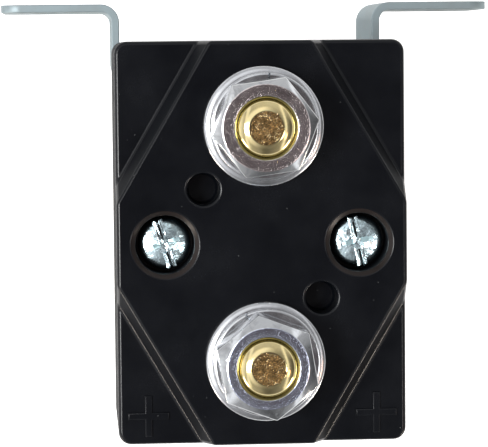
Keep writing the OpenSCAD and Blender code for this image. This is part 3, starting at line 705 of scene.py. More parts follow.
class ContactorColours(bpy.types.PropertyGroup):
    """Colours of the finishes."""

    moulding: FloatVectorProperty(
        name="Moulding", description="Black moulded plastic",
        default=(0.0034, 0.0042, 0.0062), **COLOUR)
    bobbin: FloatVectorProperty(
        name="Bobbin", description="Coil former plastic",
        default=(0.014, 0.014, 0.015), **COLOUR)
    insulator: FloatVectorProperty(
        name="Insulator", description="Pale insulating plastic inside",
        default=(0.72, 0.68, 0.58), **COLOUR)
    stud: FloatVectorProperty(
        name="Stud", description="Polished brass of the studs",
        default=(0.93, 0.79, 0.43), **COLOUR)
    stud_end: FloatVectorProperty(
        name="Stud end", description="Rough brown end of the studs",
        default=(0.155, 0.095, 0.037), **COLOUR)
    nut: FloatVectorProperty(
        name="Nut", description="Plating of the nuts",
        default=(0.78, 0.78, 0.8), **COLOUR)
    washer: FloatVectorProperty(
        name="Washer", description="Plating of the washers",
        default=(0.7, 0.71, 0.73), **COLOUR)
    screw: FloatVectorProperty(
        name="Screw", description="Bluish plating of the screws",
        default=(0.8, 0.95, 1.0), **COLOUR)
    bracket: FloatVectorProperty(
        name="Bracket", description="Zinc of the bracket",
        default=(0.36, 0.415, 0.43), **COLOUR)
    frame: FloatVectorProperty(
        name="Frame", description="Zinc of the magnet frame",
        default=(0.6, 0.62, 0.64), **COLOUR)
    tape: FloatVectorProperty(
        name="Tape", description="Tape round the winding",
        default=(0.62, 0.36, 0.045), **COLOUR)
    lead: FloatVectorProperty(
        name="Leads", description="Sleeves of the coil leads",
        default=(0.32, 0.03, 0.02), **COLOUR)


class ContactorStage(bpy.types.PropertyGroup):
    """Floor, light and camera."""

    floor: FloatVectorProperty(
        name="Floor", description="Colour of the floor",
        default=(0.86, 0.86, 0.86), **COLOUR)
    key_power: FloatProperty(
        name="Key lamp", description="Power of the large lamp at the left, in watts",
        default=6.5, min=0.0)
    fill_power: FloatProperty(
        name="Strip lamps", description="Power of each low strip lamp in front, in watts",
        default=1.4, min=0.0)
    warm_power: FloatProperty(
        name="Warm lamp", description="Power of the small warm lamp at the right, in watts",
        default=0.18, min=0.0)
    right_power: FloatProperty(
        name="Right lamp", description="Power of the small white lamp at the right, in watts",
        default=0.5, min=0.0)
    overhead: FloatVectorProperty(
        name="Overhead", description="What polished metal mirrors straight above",
        default=(0.075, 0.062, 0.065), **COLOUR)
    lens: FloatProperty(
        name="Lens", description="Focal length of the camera, in millimetres",
        default=181.69, min=50.0)
    camera: FloatVectorProperty(
        name="Camera", description="Place of the camera", subtype="TRANSLATION", size=3,
        default=(-0.02568, 0.02773, 0.41554))
    aim: FloatVectorProperty(
        name="Aim", description="Point on the face that the camera looks at",
        subtype="TRANSLATION", size=3, default=(-0.00261, 0.00291, 0.069))


def sizes_of(context):
    """The user's sizes, in metres."""
    return context.scene.contactor_sizes


# Pieces

class ContactorHousing(bpy.types.Operator):
    """Moulded housing with raised eight-sided face, counterbores, blank holes and plus marks"""

    bl_idname = "contactor.housing"
    bl_label = "Housing"

    wall = 2.5
    corner = 1.8
    cavity_corner = 1.1
    roof = 6.4
    boss_wall = 0.4
    # Bevel weights of the edges of the step walls and of the bottom edges
    step_weight = 0.58
    foot_weight = 0.3
    # Sloped faces above this area, in square millimetres, are step walls
    wall_area = 8.0
    screw_bore_r = 2.15
    stud_bore_r = 4.15
    # (outwards, upwards) steps from the radius of a hole and from the face
    rim_section = ((-0.13, -0.13), (-0.04, -0.06), (0.06, -0.018), (0.2, 0.0), (0.2, 1.0))
    blank_at = (8.33, 7.8)
    blank_section = ((-0.3, -4.0), (0.0, -3.7), (0.0, -0.42), (0.05, -0.24), (0.16, -0.1),
                     (0.32, -0.03), (0.5, 0.0), (0.5, 1.0))
    plus_at = (16.35, -24.65)
    plus_size = (5.9, 1.07)
    plus_height = 0.3
    plus_edge = 0.22

    def corner_cutter(self, s, low, high, mirror_x, mirror_y):
        """Prism that takes one corner down to the lower level, with a sloped wall."""
        width, length = high.x - low.x, high.y - low.y
        face, fall, slope = high.z, s.face_step / MM, s.step_run / MM
        start = Vector((s.face_end / MM / 2, length / 2))
        end = Vector((width / 2, s.face_side / MM / 2))
        along = (end - start).normalized()
        out = Vector((-along.y, along.x))
        out = out if out.dot(start) > 0 else -out
        reach = (end - start).length
        profile = ((0.0, face), (slope, face - fall), (reach, face - fall), (reach, face + 1.0),
                   (-slope / fall, face + 1.0))
        bm = bmesh.new()
        rings = []
        for base in (start - along * reach / 2, end + along * reach / 2):
            rings.append([bm.verts.new(((base.x + out.x * a) * mirror_x,
                                        (base.y + out.y * a) * mirror_y, z)) for a, z in profile])
        bm.faces.new(rings[0])
        bm.faces.new(rings[1])
        return skin(bm, rings)

    def edge_weight(self, edge, one, other):
        """Full round at the outer top edges, less at the step walls, least at the bottom."""
        a, b = one.normal.z, other.normal.z
        if edge.calc_face_angle(0.0) < math.radians(15):
            return 0.0
        if min(a, b) > 0.3:
            return self.step_weight
        if max(a, b) > 0.3:
            return 1.0
        return self.foot_weight if min(a, b) < -0.9 else 0.0

    def section(self, radius, face, points):
        """Section of a hole from (outwards, upwards) steps off its radius and its face."""
        return [(radius + out, face + up) for out, up in points] + [(0, face + 1)]

    def plus_mark(self, x, y, level):
        """Raised plus with rounded top edges."""
        arm, half = self.plus_size[0] / 2, self.plus_size[1] / 2
        outline = [(half, half), (half, arm), (-half, arm), (-half, half), (-arm, half),
                   (-arm, -half), (-half, -half), (-half, -arm), (half, -arm), (half, -half),
                   (arm, -half), (arm, half)]
        mark = loose(prism(moved(outline, x, y), level - self.plus_height,
                           level + self.plus_height), "mark")
        weight_edges(mark, lambda edge, one, other:
                     1.0 if max(one.normal.z, other.normal.z) > 0.9 else 0.0)
        weighted_bevel(mark, self.plus_edge, 4)
        return mark

    def execute(self, context):
        s = sizes_of(context)
        low, high = cad("housing")
        face = high.z
        width, length = high.x - low.x, high.y - low.y
        block = loose(prism(rounded_rect(width, length, self.corner), low.z, face), "housing")
        for mirror_x in (1, -1):
            for mirror_y in (1, -1):
                combine(block, self.corner_cutter(s, low, high, mirror_x, mirror_y))
        weight_edges(block, self.edge_weight)
        weighted_bevel(block, s.edge_radius / MM, 4)

        bore, rim = s.counterbore / MM / 2, s.rim / MM
        screw_x = cad("cover_screws")[1].x - cover_screw_r()
        cavity = rounded_rect(width - 2 * self.wall, length - 2 * self.wall, self.cavity_corner)
        inside = loose(prism(cavity, low.z - 1, face - self.roof), "inside")
        boss = arc((0, 0), bore + self.boss_wall, 0, 350, 35)
        for side in (-1, 1):
            combine(inside, prism(moved(boss, side * screw_x, 0), low.z + 1.2, face))
        combine(block, inside)

        seat = cad("screw_spring_washers")[0].z
        rim_low = face - rim + 0.02
        profile = [(0, seat), (bore, seat), (bore, rim_low)]
        profile += arc((bore + 0.2, rim_low), 0.2, 180, 128, 4)[1:]
        profile += self.section(bore + rim, face, self.rim_section)
        for side in (-1, 1):
            combine(block, shifted(lathe(profile), side * screw_x))
            combine(block, shifted(rod(self.screw_bore_r, low.z - 1, seat + 0.5, 48),
                                   side * screw_x))
        blank = [(0, face - 4)] + self.section(s.blank_hole / MM / 2, face, self.blank_section)
        for side in (-1, 1):
            combine(block, shifted(rod(self.stud_bore_r, face - 8, face + 1),
                                   y=side * stud_offset()))
            combine(block, shifted(lathe(blank, 64), -side * self.blank_at[0],
                                   side * self.blank_at[1]))
        for side in (-1, 1):
            combine(block, self.plus_mark(side * self.plus_at[0], self.plus_at[1],
                                          face - s.face_step / MM), "UNION")
        for polygon in block.data.polygons:
            level, spot = abs(polygon.normal.z), polygon.center
            out = math.hypot(abs(spot.x) - screw_x, spot.y) - bore
            # The counterbore rims take the third finish, whose brownish tint is a painted warm
            # reflection
            if 0.02 < out < rim - 0.03 and face - rim < spot.z < face - 0.001:
                polygon.material_index = 2
            else:
                polygon.material_index = int(level < 0.15
                                             or (level < 0.9 and polygon.area > self.wall_area))
        place(block, "Housing_moulding", ["housing"],
              [finish("moulding"), finish("moulding_side"), finish("moulding_rim_painted_reflection")], sharp=33)
        dress("chamber_base", finish("moulding_base"), 0.35, 40, 3)
        return {"FINISHED"}


class ContactorStuds(bpy.types.Operator):
    """Brass terminal studs with polished domed ends and rough brown tips"""

    bl_idname = "contactor.studs"
    bl_label = "Terminal studs"

    thread_r = 4.0
    dome = 1.28
    dome_turn = 70.0
    head_r = 7.0
    head_half = 5.5
    head_chamfer = 0.4
    head_h = 3.0
    bumps = 150
    # Waves round the ragged edge of the brown tip
    ragged = (2, 5, 9, 17)

    def profile(self, low, top, tip):
        """Section of a stud with a domed end and a sunk, finely divided tip."""
        points = [(0, low), (self.thread_r, low), (self.thread_r, top - self.dome)]
        last = math.radians(self.dome_turn)
        across = (self.thread_r - tip) / (1 - math.cos(last))
        for step in range(1, 14):
            a = last * step / 13
            points.append((self.thread_r - across * (1 - math.cos(a)),
                           top - 0.02 - self.dome * (1 - math.sin(a) / math.sin(last))))
        points += [(tip - 0.1, top - 0.03)]
        points += [(tip - 0.15 - step * (tip - 0.35) / 12, top - 0.06) for step in range(1, 13)]
        return points + [(0, top - 0.06)]

    def roughen(self, stud, top, tip, rng):
        """Small bumps on the tip, and its brown finish up to a ragged edge."""
        bumps = [(rng.uniform(-tip, tip), rng.uniform(-tip, tip), rng.uniform(0.16, 0.45),
                  rng.uniform(-0.06, 0.06)) for _ in range(self.bumps)]
        for vert in stud.verts:
            r = math.hypot(vert.co.x, vert.co.y)
            if r < tip - 0.1 and vert.co.z > top - 0.2:
                lift = sum(h * math.exp(-((vert.co.x - x) ** 2 + (vert.co.y - y) ** 2) / w ** 2)
                           for x, y, w, h in bumps)
                fade = min(1.0, (tip - 0.1 - r) / 0.3)
                vert.co.z = min(vert.co.z + lift * fade, top - 0.004)
        wobble = [(rng.uniform(0, math.tau), rng.uniform(0.04, 0.11)) for _ in self.ragged]
        for face in stud.faces:
            centre = face.calc_center_median()
            around = math.atan2(centre.y, centre.x)
            edge = tip - 0.02 + sum(h * math.sin(n * around + start)
                                    for n, (start, h) in zip(self.ragged, wobble))
            face.material_index = int(math.hypot(centre.x, centre.y) < edge
                                      and centre.z > top - 0.3)

    def head(self, low):
        """Round contact head with two flat sides."""
        top, neck = low + self.head_h, self.head_r - self.head_chamfer
        head = loose(lathe([(0, low), (neck, low), (self.head_r, low + self.head_chamfer),
                            (self.head_r, top - self.head_chamfer), (neck, top), (0, top)]),
                     "head")
        half, reach = self.head_half, self.head_r + 2
        flats = [(-half, -reach), (half, -reach), (half, reach), (-half, reach)]
        return opened(combine(head, prism(flats, low - 1, top + 1), "INTERSECT"))

    def execute(self, context):
        s = sizes_of(context)
        rng = random.Random(s.seed)
        low, high = cad("terminal_studs")
        tip = s.stud_tip / MM / 2
        whole = bmesh.new()
        for side in (-1, 1):
            stud = lathe(self.profile(low.z + self.head_h / 2, high.z, tip))
            self.roughen(stud, high.z, tip, rng)
            join_bm(whole, shifted(stud, y=side * stud_offset()))
            join_bm(whole, shifted(self.head(low.z), y=side * stud_offset()))
        place(loose(whole, "studs"), "Terminal_studs", ["terminal_studs"],
              [finish("stud_brass"), finish("stud_end")], sharp=38)
        dress("fixed_contact_tips", finish("silver"), 0.15)
        return {"FINISHED"}


class ContactorWashers(bpy.types.Operator):
    """Flat washers with a stamped round edge, and split spring washers"""

    bl_idname = "contactor.washers"
    bl_label = "Washers"

    flat_bore_r = 4.3
    spring_bore_r = 4.08
    # Radius at the top rim and at the other edges, and how far the top one is stretched inwards
    flat_rounds = (0.55, 0.15, 2.4)
    spring_rounds = (0.22, 0.15, 2.2)
    # Places and width of the splits, in degrees
    splits = (112.0, 84.0)
    gap = 2.4

    def ring(self, node, inner, rounds, start=0.0, sweep=360.0):
        """One washer of the node's size about the Z axis."""
        low, high = cad(node)
        return lathe(ring_profile(inner, (high.x - low.x) / 2, low.z, high.z, *rounds), 128,
                     start, sweep, closed=True)

    def slant(self, washer, middle, split):
        """Leans the two ends of a split washer."""
        for vert in washer.verts:
            angle = math.atan2(vert.co.y, vert.co.x) - math.radians(split)
            angle = (angle + math.pi) % (2 * math.pi) - math.pi
            if abs(angle) < 0.06:
                r = math.hypot(vert.co.x, vert.co.y)
                turn = math.atan2(vert.co.y, vert.co.x) + (vert.co.z - middle) * 0.4 / r
                vert.co.x, vert.co.y = r * math.cos(turn), r * math.sin(turn)
        return washer

    def execute(self, context):
        flats, springs = bmesh.new(), bmesh.new()
        low, high = cad("stud_flat_washers")
        shift = (high.x + low.x) / 2
        for side in (-1, 1):
            washer = self.ring("stud_flat_washers", self.flat_bore_r, self.flat_rounds)
            join_bm(flats, shifted(washer, shift, side * stud_offset()))
        low, high = cad("stud_spring_washers")
        shift = (high.x + low.x) / 2
        for side, split in zip((-1, 1), self.splits):
            washer = self.ring("stud_spring_washers", self.spring_bore_r + shift,
                               self.spring_rounds, split + self.gap / 2, 360 - self.gap)
            self.slant(washer, (low.z + high.z) / 2, split)
            join_bm(springs, shifted(washer, shift, side * stud_offset()))
        for bm, name, node in ((flats, "Flat_washers", "stud_flat_washers"),
                               (springs, "Spring_washers", "stud_spring_washers")):
            place(loose(bm, name), name, [node],
                  [finish("washer_plating")], sharp=50)
        return {"FINISHED"}


class ContactorNuts(bpy.types.Operator):
    """Hexagon nuts with conical corner chamfers and a countersunk bore"""

    bl_idname = "contactor.nuts"
    bl_label = "Nuts"

    across_flats = 13.0
    bore = 4.03
    sink = 0.38
    turns = (9.5, 38.0)
    face_shifts = (-0.12, 0.22)
    per_side = 18

    def hex_nut(self, face_r, low, high):
        """One nut about the Z axis, with its flats' edges arched by the chamfer cone."""
        bm = bmesh.new()
        count = self.per_side * 6
        cone = math.tan(math.radians(30))
        levels = []
        inner = ((self.bore, self.sink), (self.bore + self.sink, 0.0), (face_r, 0.0))
        for end, sign in ((low, 1), (high, -1)):
            rows = [[(radius, end + sign * depth)] * count for radius, depth in inner]
            rim = []
            for i in range(count):
                step = math.radians((i % self.per_side) * 60 / self.per_side - 30)
                radius = self.across_flats / 2 / math.cos(step)
                rim.append((radius, end + sign * (radius - face_r) * cone))
            rows.append(rim)
            levels += rows if sign == 1 else list(reversed(rows))
        rings = []
        for row in levels:
            ring = []
            for i, (radius, z) in enumerate(row):
                angle = math.radians(i * 60 / self.per_side - 30)
                ring.append(bm.verts.new((radius * math.cos(angle), radius * math.sin(angle), z)))
            rings.append(ring)
        return skin(bm, rings + rings[:1])

    def execute(self, context):
        low, high = cad("stud_nuts")
        nuts = bmesh.new()
        for side, turn, shift in zip((-1, 1), self.turns, self.face_shifts):
            nut = self.hex_nut(sizes_of(context).nut_face / MM / 2 + shift, low.z, high.z)
            for face in nut.faces:
                centre = face.calc_center_median()
                # Faces of the countersink take the second finish, darkened as painted shade
                if math.hypot(centre.x, centre.y) < self.bore + self.sink * 0.7:
                    face.material_index = 1
                elif abs(face.normal.z) > 0.99:
                    face.material_index = 2
            join_bm(nuts, shifted(spun(nut, turn), y=side * stud_offset()))
        place(loose(nuts, "nuts"), "Stud_nuts", ["stud_nuts"],
              [finish("nut_plating"), finish("nut_sink_painted_shade"), finish("nut_face")],
              bevel=0.12, sharp=20, segments=3)
        return {"FINISHED"}


class ContactorScrews(bpy.types.Operator):
    """Pan head cover screws with a slot, a cross recess and raised slot lips"""

    bl_idname = "contactor.screws"
    bl_label = "Cover screws"

    turns = (17.5, 12.0)
    head_h = 2.5
    # (radius, tilt in degrees) of the dome
    tilts = ((0.0, 6.0), (0.8, 9.0), (2.0, 11.0), (2.9, 13.0), (3.15, 20.0), (3.35, 44.0),
             (3.6, 70.0), (3.7, 80.0))
    shank_r = 2.0
    shank_chamfer = 0.25
    lip = 0.47
    slot_depth = 0.5
    # Each half of the slot narrows from the rim to its inner end
    slot_ends = ((0.55, 9.0), (-1.15, -9.0))
    slot_taper = 0.6
    wing_w = 1.0
    wing_r = 2.15
    recess = 0.52
    facet_r = 1.72
    facet_depth = 0.52

    def domed(self, radius, top, low):
        """Section of a domed head, from its tilt at each radius."""
        points = [(0.0, top)]
        for (r, tilt), (r_next, tilt_next) in zip(self.tilts, self.tilts[1:]):
            for step in range(1, 5):
                at = r + (r_next - r) * step / 4
                slope = tilt + (tilt_next - tilt) * (step - 0.5) / 4
                height = points[-1][1] - (at - points[-1][0]) * math.tan(math.radians(slope))
                points.append((at * radius / self.tilts[-1][0], height))
        return [(0, low), (radius, low)] + list(reversed(points))

    def lips(self, radius, top, slot):
        """Two ridges along the slot that fall away from it, cut to the outline of the head."""
        outline = [(0, top - self.head_h), (radius, top - self.head_h)]
        outline += [(radius - 0.45 * (1 - math.cos(math.radians(a))),
                     top - 0.7 + 0.9 * math.sin(math.radians(a))) for a in range(0, 91, 9)]
        both = loose(lathe(outline + [(0, top + 0.2)], 96), "lips")
        ridges = bmesh.new()
        for side in (-1, 1):
            section = [(slot - 0.02, top - 3), (slot + self.lip, top - 3),
                       (slot + self.lip, top - 0.09), (slot + self.lip * 0.9, top - 0.03),
                       (slot + self.lip * 0.1, top + 0.13), (slot - 0.02, top + 0.13)]
            order = section if side > 0 else reversed(section)
            join_bm(ridges, spun(prism([(side * x, z) for x, z in order], -9, 9), 90, "X"))
        return combine(both, ridges, "INTERSECT")

    def wings(self, top):
        """Two arms across the slot whose floors fall to the middle, and four facets about it."""
        half, reach = self.wing_w / 2, self.wing_r
        cutters = []
        for side in (-1, 1):
            arm = [(side * 0.6, y * half * 0.6, top - self.recess) for y in (-1, 1)]
            arm += [(side * reach, y * half * 0.8, top - 0.12) for y in (-1, 1)]
            arm += [(x, y * half, top + z) for x in (side * 0.4, side * (reach + 0.1))
                    for y in (-1, 1) for z in (0, 0.4)]
            cutters.append(hull(arm))
        square = [(self.facet_r, 0), (0, self.facet_r), (-self.facet_r, 0), (0, -self.facet_r)]
        rim = [(x, y, top + z) for x, y in square for z in (0, 0.4)]
        cutters.append(hull([(0, 0, top - self.facet_depth)] + rim))
        return cutters

    def shank(self, low, high):
        """Plain shank with a chamfered end."""
        neck = self.shank_r - self.shank_chamfer
        return lathe([(0, low), (neck, low), (self.shank_r, low + self.shank_chamfer),
                      (self.shank_r, high), (0, high)], 64)

    def tint(self, screw, slot, floor, top):
        """Second finish, a near-black painted shade, in the slot, and third, a darker painted
        shade, in the arms of the cross.
        """
        for face in screw.faces:
            centre, normal = face.calc_center_median(), face.normal
            in_slot = abs(centre.x) < slot + 0.01 and floor - 0.01 < centre.z < top + 0.12
            if in_slot and (abs(normal.x) > 0.95 or normal.z > 0.999) and centre.xy.length > 0.5:
                face.material_index = 1
            elif (abs(centre.y) < self.wing_w / 2 and abs(normal.x) > 0.05
                  and abs(normal.y) < 0.02 and 0.3 < abs(centre.x) < self.wing_r + 0.1):
                face.material_index = 2
        return screw

    def execute(self, context):
        slot = sizes_of(context).slot_width / MM / 2
        radius = cover_screw_r()
        low = cad("cover_screws")[0].z
        top = cad("screw_spring_washers")[1].z + self.head_h
        floor, narrow = top - self.slot_depth, slot * self.slot_taper
        whole = bmesh.new()
        for side, turn in zip((-1, 1), self.turns):
            screw = loose(lathe(self.domed(radius, top, top - self.head_h)), "screw")
            combine(screw, self.lips(radius, top, slot), "UNION")
            for start, end in self.slot_ends:
                outline = [(-slot, end), (slot, end), (narrow, start), (-narrow, start)]
                combine(screw, prism(outline, floor, top + 2))
            for cutter in self.wings(top):
                combine(screw, cutter)
            combine(screw, self.shank(low, top - self.head_h + 0.3), "UNION")
            screw = self.tint(opened(screw), slot, floor, top)
            join_bm(whole, shifted(spun(screw, turn), side * SCREW_SPACING / 2))
        place(loose(whole, "screws"), "Cover_screws", ["cover_screws"],
              [finish("screw_plating"), finish("screw_slot_painted_shade"), finish("screw_recess_painted_shade")],
              bevel=0.04, sharp=30, segments=2)
        dress("screw_spring_washers", finish("screw_plating"), 0.1)
        return {"FINISHED"}


class ContactorBracket(bpy.types.Operator):
    """Zinc plated mounting bracket with two feet, and the rivets that hold it"""

    bl_idname = "contactor.bracket"
    bl_label = "Bracket"

    sheet = 1.2
    bend = 1.6
    foot_corner = 3.0
    web = 41.1
    # (place, radius) of the fixing holes and of the rivet holes
    holes = ((-30, 2.65), (30, 2.65), (-10, 2.03), (10, 2.03))

    def execute(self, context):
        low, high = cad("mounting_bracket")
        sheet, bend, leg = self.sheet, self.bend, self.web / 2
        outer = bend + sheet
        half = [(0.0, low.y)]
        half += arc((leg - outer, low.y + outer), outer, 270, 360, 12)
        half += arc((leg + bend, high.y - outer), bend, 180, 90, 12)
        half += [(high.x, high.y - sheet), (high.x, high.y)]
        half += arc((leg + bend, high.y - outer), outer, 90, 180, 12)
        half += arc((leg - outer, low.y + outer), bend, 360, 270, 12)
        half += [(0.0, low.y + sheet)]
        right = half[1:-1]
        outline = right + [(-x, y) for x, y in reversed(right)]
        strip = loose(prism(outline, low.z, high.z), "bracket")
        mid_z = (low.z + high.z) / 2
        feet = prism(rounded_rect(high.x - low.x, high.z - low.z, self.foot_corner, 10),
                     -high.y - 1, -low.y + 1)
        combine(strip, shifted(spun(feet, 90, "X"), z=mid_z), "INTERSECT")
        for x, radius in self.holes:
            hole = rod(radius, -high.y - 1, -low.y + 1)
            combine(strip, shifted(spun(hole, 90, "X"), x, 0, mid_z))
        place(strip, "Mounting_bracket", ["mounting_bracket"],
              [finish("bracket_zinc")], bevel=0.14, sharp=40, segments=2)
        dress("bracket_rivets", finish("bracket_zinc"), 0.1)
        return {"FINISHED"}


class ContactorFrame(bpy.types.Operator):
    """Bent steel yoke and the top plate that closes it"""

    bl_idname = "contactor.frame"
    bl_label = "Magnet frame"

    def execute(self, context):
        dress("yoke", finish("frame_steel"), 0.25, 40, 3)
        dress("top_plate", finish("frame_steel"), 0.2, 40, 2)
        dress("fixed_pole", finish("pole_steel"), 0.15, 40)
        return {"FINISHED"}


class ContactorCoil(bpy.types.Operator):
    """Bobbin, taped winding, sleeved leads and blade terminals"""

    bl_idname = "contactor.coil"
    bl_label = "Coil"

    columns = 160
    # Angle of the tape's end, in degrees, and the step there
    lap = 24.0
    lap_step = 0.07
    inset = 0.02

    def tape(self):
        """Round of tape with a small step where its end laps over."""
        low, high = cad("coil_tape")
        outer = (high.x - low.x) / 2
        inner = (cad("coil_winding")[1].x - cad("coil_winding")[0].x) / 2
        bottom, middle, top = low.z + self.inset, (low.z + high.z) / 2, high.z - self.inset
        bm = bmesh.new()
        rings = []
        for i in range(self.columns + 1):
            angle = 360.0 * i / self.columns
            at = math.radians(angle + self.lap)
            reach = outer - self.lap_step * min(angle / 3.0, 1.0)
            section = ((inner, bottom), (reach, bottom), (reach + 0.001, middle), (reach, top),
                       (inner, top))
            rings.append([bm.verts.new((r * math.cos(at), r * math.sin(at), z))
                          for r, z in section])
        bm.faces.new(rings[0])
        bm.faces.new(list(reversed(rings[-1])))
        return skin(bm, rings)

    def execute(self, context):
        place(loose(self.tape(), "tape"), "Coil_tape", ["coil_tape"], [finish("tape")],
              sharp=40)
        dress("coil_winding", finish("winding"))
        dress("bobbin", finish("bobbin_plastic"), 0.2, 40)
        dress("coil_terminals", finish("tinned"), 0.1, 40)
        dress("coil_leads", finish("lead_sleeve"))
        dress("guide_sleeve", finish("sleeve_brass"))
        return {"FINISHED"}


class ContactorInside(bpy.types.Operator):
    """Finishes of the plunger, spindle, springs, bridge and magnets inside"""

    bl_idname = "contactor.inside"
    bl_label = "Inner pieces"

    finishes = {
        "blowout_magnets": ("magnet", 0.2),
        "plunger": ("pole_steel", 0.3),
        "spindle": ("stainless", 0.1),
        "plunger_stop": ("rubber", 0.15),
        "return_spring": ("spring_steel", 0.0),
        "contact_spring": ("spring_steel", 0.0),
        "spring_seat": ("insulator", 0.15),
        "contact_bridge": ("copper", 0.2),
        "bridge_tips": ("silver", 0.15),
        "contact_bush": ("insulator", 0.1),
        "bush_washer": ("insulator", 0.1),
        "spindle_clip": ("clip_steel", 0.08),
    }

    def execute(self, context):
        for node, (name, bevel) in self.finishes.items():
            dress(node, finish(name), bevel, 40)
        return {"FINISHED"}


class ContactorStageMaker(bpy.types.Operator):
    """Pale floor, soft lamps, studio world and the camera"""

    bl_idname = "contactor.stage"
    bl_label = "Stage"

    floor_level = -0.0002
    floor_reach = 3.0
    floor_glow = 0.8
    mirrored_glow = 0.31
    target = (0.0, 0.0, 0.055)
    camera_up = (0.01437, 0.99741, -0.07048)
    lamps = (
        # name, place, size, property with its power, colour
        ("Key", (-0.53, -0.03, 0.88), (0.3, 0.3), "key_power", (1.0, 1.0, 1.0)),
        ("Left strip", (-0.6, -0.46, 0.17), (0.26, 0.05), "fill_power", (1.0, 0.88, 0.76)),
        ("Right strip", (0.6, -0.46, 0.17), (0.26, 0.05), "fill_power", (1.0, 0.88, 0.76)),
        ("Warm", (0.5, -0.2, 0.62), (0.11, 0.11), "warm_power", (1.0, 0.55, 0.36)),
        ("Right", (0.38, -0.16, 0.86), (0.13, 0.13), "right_power", (1.0, 1.0, 1.0)),
    )
    # Greys of the studio that polished metal mirrors, by how far a ray leans, from -1 to 1
    greys = {
        "height": ((0, 0, 1), ((-1, 1), (0.9, 1), (0.95, 0.5), (0.975, 0))),
        "across": ((1, 0, 0), ((-1, 1), (-0.93, 0.9), (-0.82, 0.6), (-0.74, 0.4), (-0.69, 0.95),
                               (-0.57, 0.95), (-0.52, 0.38), (-0.4, 0.34), (-0.2, 0.26),
                               (-0.05, 0.12), (0.1, 0.1), (0.3, 0.18), (0.53, 0.28),
                               (0.57, 0.95), (0.66, 0.95), (0.69, 0.26), (0.85, 0.12),
                               (1, 0.05))),
        "behind": ((0, 1, 0), ((0.1, 0), (0.35, 0.28), (0.55, 0.42), (0.75, 0.52), (0.9, 0.55),
                               (1, 0.5))),
        "low": ((0, 0, 1), ((-1, 0.9), (0.02, 0.85), (0.12, 0.6), (0.24, 0.12), (0.4, 0))),
        "crown": ((0, 0, 1), ((0.6, 0), (0.72, 0.6), (0.8, 1), (0.92, 1), (0.955, 0.7),
                              (0.98, 0))),
        "lean": ((-0.9, 0.42, 0), ((-0.45, 0.2), (-0.3, 0.14), (-0.15, 0.24), (0, 0.48),
                                   (0.12, 0.7), (0.25, 1))),
    }

    def floor(self, stage):
        """Matt floor whose glow shows it nearly white to the camera and greyer in gloss."""
        bm = bmesh.new()
        bm.faces.new([bm.verts.new((x * self.floor_reach, y * self.floor_reach, self.floor_level))
                      for x, y in ((-1, -1), (1, -1), (1, 1), (-1, 1))])
        floor = loose(bm, "Floor")
        f = Finish("Pale floor", Roughness=0.9, Specular_IOR_Level=0.1)
        f.colour(f.ramp(f.noise(10 / 9, 2.0, 0.5), ((0.0, shade(stage.floor, 0.985)),
                                                    (1.0, shade(stage.floor, 1.01)))))
        rays = f.node("ShaderNodeLightPath").outputs
        mirrored = f.math("MULTIPLY", rays["Is Glossy Ray"], self.mirrored_glow)
        seen = f.math("MAXIMUM", rays["Is Camera Ray"], mirrored)
        seen = f.math("MAXIMUM", seen, rays["Is Transmission Ray"])
        glow = f.node("ShaderNodeEmission")
        f.feed(glow.inputs["Strength"], f.math("MULTIPLY", seen, self.floor_glow))
        surface = f.shaders("ShaderNodeAddShader", f.shader.outputs["BSDF"],
                            glow.outputs["Emission"])
        f.feed(f.nodes["Material Output"].inputs["Surface"], surface)
        floor.data.materials.append(f.material)

    def world(self, stage):
        """White for the camera, even for plain surfaces, a studio with dark ceiling for gloss."""
        world = bpy.data.worlds.new("Studio")
        bpy.context.scene.world = world
        tree = Tree(world)
        tree.nodes.clear()
        out = tree.node("ShaderNodeOutputWorld")
        rays = tree.node("ShaderNodeLightPath").outputs
        where = tree.node("ShaderNodeTexCoord").outputs["Generated"]

        def tones(direction, stops):
            """Colours by how far a ray leans in a direction."""
            dot = tree.node("ShaderNodeVectorMath", operation="DOT_PRODUCT")
            dot.inputs[1].default_value = Vector(direction).normalized()
            tree.feed(dot.inputs[0], where)
            return tree.ramp(tree.spread(dot.outputs["Value"], 0.0, 1.0, -1.0),
                             [((at + 1) / 2, colour) for at, colour in stops])

        def background(strength, colour):
            """Light from all around."""
            made = tree.node("ShaderNodeBackground")
            tree.feed(made.inputs["Color"], colour)
            tree.feed(made.inputs["Strength"], strength)
            return made.outputs[0]

        grey = {name: tones(direction, [(at, (tone, tone, tone * 1.01)) for at, tone in stops])
                for name, (direction, stops) in self.greys.items()}
        over = tuple(stage.overhead)
        ceiling = tones((0, 0, 1), ((0.95, (0.0, 0.0, 0.0)), (0.975, over), (1, over)))
        sides = tree.mix(1.0, grey["across"], grey["behind"], "LIGHTEN")
        sides = tree.mix(1.0, grey["height"], sides, "MULTIPLY")
        crown = tree.mix(1.0, grey["crown"], grey["lean"], "MULTIPLY")
        crown = tree.mix(1.0, crown, ceiling, "LIGHTEN")
        mirrored = tree.mix(1.0, sides, crown, "LIGHTEN")
        mirrored = tree.mix(1.0, mirrored, grey["low"], "LIGHTEN")

        white = (1.0, 1.0, 1.0)
        lit = tree.shaders("ShaderNodeMixShader", rays["Is Glossy Ray"], background(0.5, white),
                           background(1.1, mirrored))
        seen = tree.math("MAXIMUM", rays["Is Camera Ray"], rays["Is Transmission Ray"])
        shown = tree.shaders("ShaderNodeMixShader", seen, lit, background(1.0, white))
        tree.feed(out.inputs["Surface"], shown)

    def lamp(self, name, at, size, power, colour):
        """Rectangular lamp that points at the housing."""
        light = bpy.data.lights.new(name, "AREA")
        light.shape = "RECTANGLE"
        light.size, light.size_y = size
        light.energy = power
        light.color = colour
        obj = bpy.data.objects.new(name, light)
        bpy.context.scene.collection.objects.link(obj)
        obj.location = at
        look = Vector(self.target) - Vector(at)
        obj.rotation_euler = look.to_track_quat("-Z", "Y").to_euler()

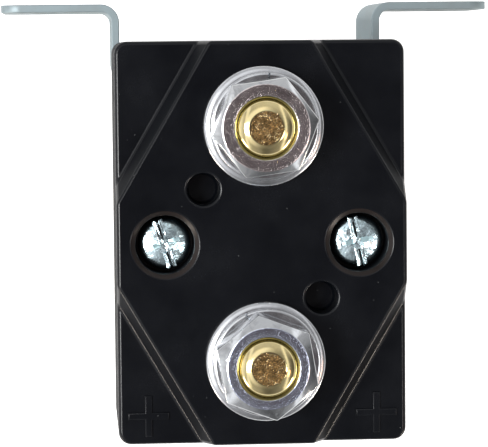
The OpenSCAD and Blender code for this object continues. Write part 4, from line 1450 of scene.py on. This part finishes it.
    def camera(self, stage):
        """Camera as fitted to the photo."""
        camera = bpy.data.objects.new("Camera", bpy.data.cameras.new("Camera"))
        bpy.context.scene.collection.objects.link(camera)
        camera.data.lens = stage.lens
        camera.data.sensor_width = 36.0
        camera.data.clip_start = 0.01
        camera.data.clip_end = 20.0
        back = (Vector(stage.camera) - Vector(stage.aim)).normalized()
        right = Vector(self.camera_up).cross(back).normalized()
        turn = Matrix((right, back.cross(right), back)).transposed()
        camera.matrix_world = Matrix.Translation(stage.camera) @ turn.to_4x4()
        bpy.context.scene.camera = camera

    def execute(self, context):
        stage = context.scene.contactor_stage
        self.floor(stage)
        self.world(stage)
        for name, at, size, power, colour in self.lamps:
            self.lamp(name, at, size, getattr(stage, power), colour)
        self.camera(stage)
        context.scene.view_settings.view_transform = "Standard"
        return {"FINISHED"}


OPERATORS = (
    ContactorHousing, ContactorStuds, ContactorWashers, ContactorNuts, ContactorScrews,
    ContactorBracket, ContactorFrame, ContactorCoil, ContactorInside, ContactorStageMaker,
)


class ContactorPanel(bpy.types.Panel):
    """Pieces of the contactor and the values that shape them"""

    bl_idname = "VIEW3D_PT_contactor"
    bl_label = "DC contactor"
    bl_space_type = "VIEW_3D"
    bl_region_type = "UI"
    bl_category = "Contactor"

    def draw(self, context):
        column = self.layout.column()
        for operator in OPERATORS:
            column.operator(operator.bl_idname)
        for group_name, group in GROUPS.items():
            box = self.layout.box()
            for name in group.__annotations__:
                box.prop(getattr(context.scene, group_name), name)


GROUPS = {
    "contactor_sizes": ContactorSizes,
    "contactor_colours": ContactorColours,
    "contactor_stage": ContactorStage,
}


def register():
    """Adds the values, the operators and the panel to Blender."""
    for name, group in GROUPS.items():
        bpy.utils.register_class(group)
        setattr(bpy.types.Scene, name, PointerProperty(type=group))
    for cls in (*OPERATORS, ContactorPanel):
        bpy.utils.register_class(cls)


def unregister():
    """Takes them out again."""
    for cls in reversed((*OPERATORS, ContactorPanel)):
        bpy.utils.unregister_class(cls)
    for name, group in reversed(list(GROUPS.items())):
        delattr(bpy.types.Scene, name)
        bpy.utils.unregister_class(group)


def main():
    register()
    for operator in OPERATORS:
        name = operator.bl_idname.split(".")[1]
        getattr(bpy.ops.contactor, name)()


if __name__ == "__main__":
    main()
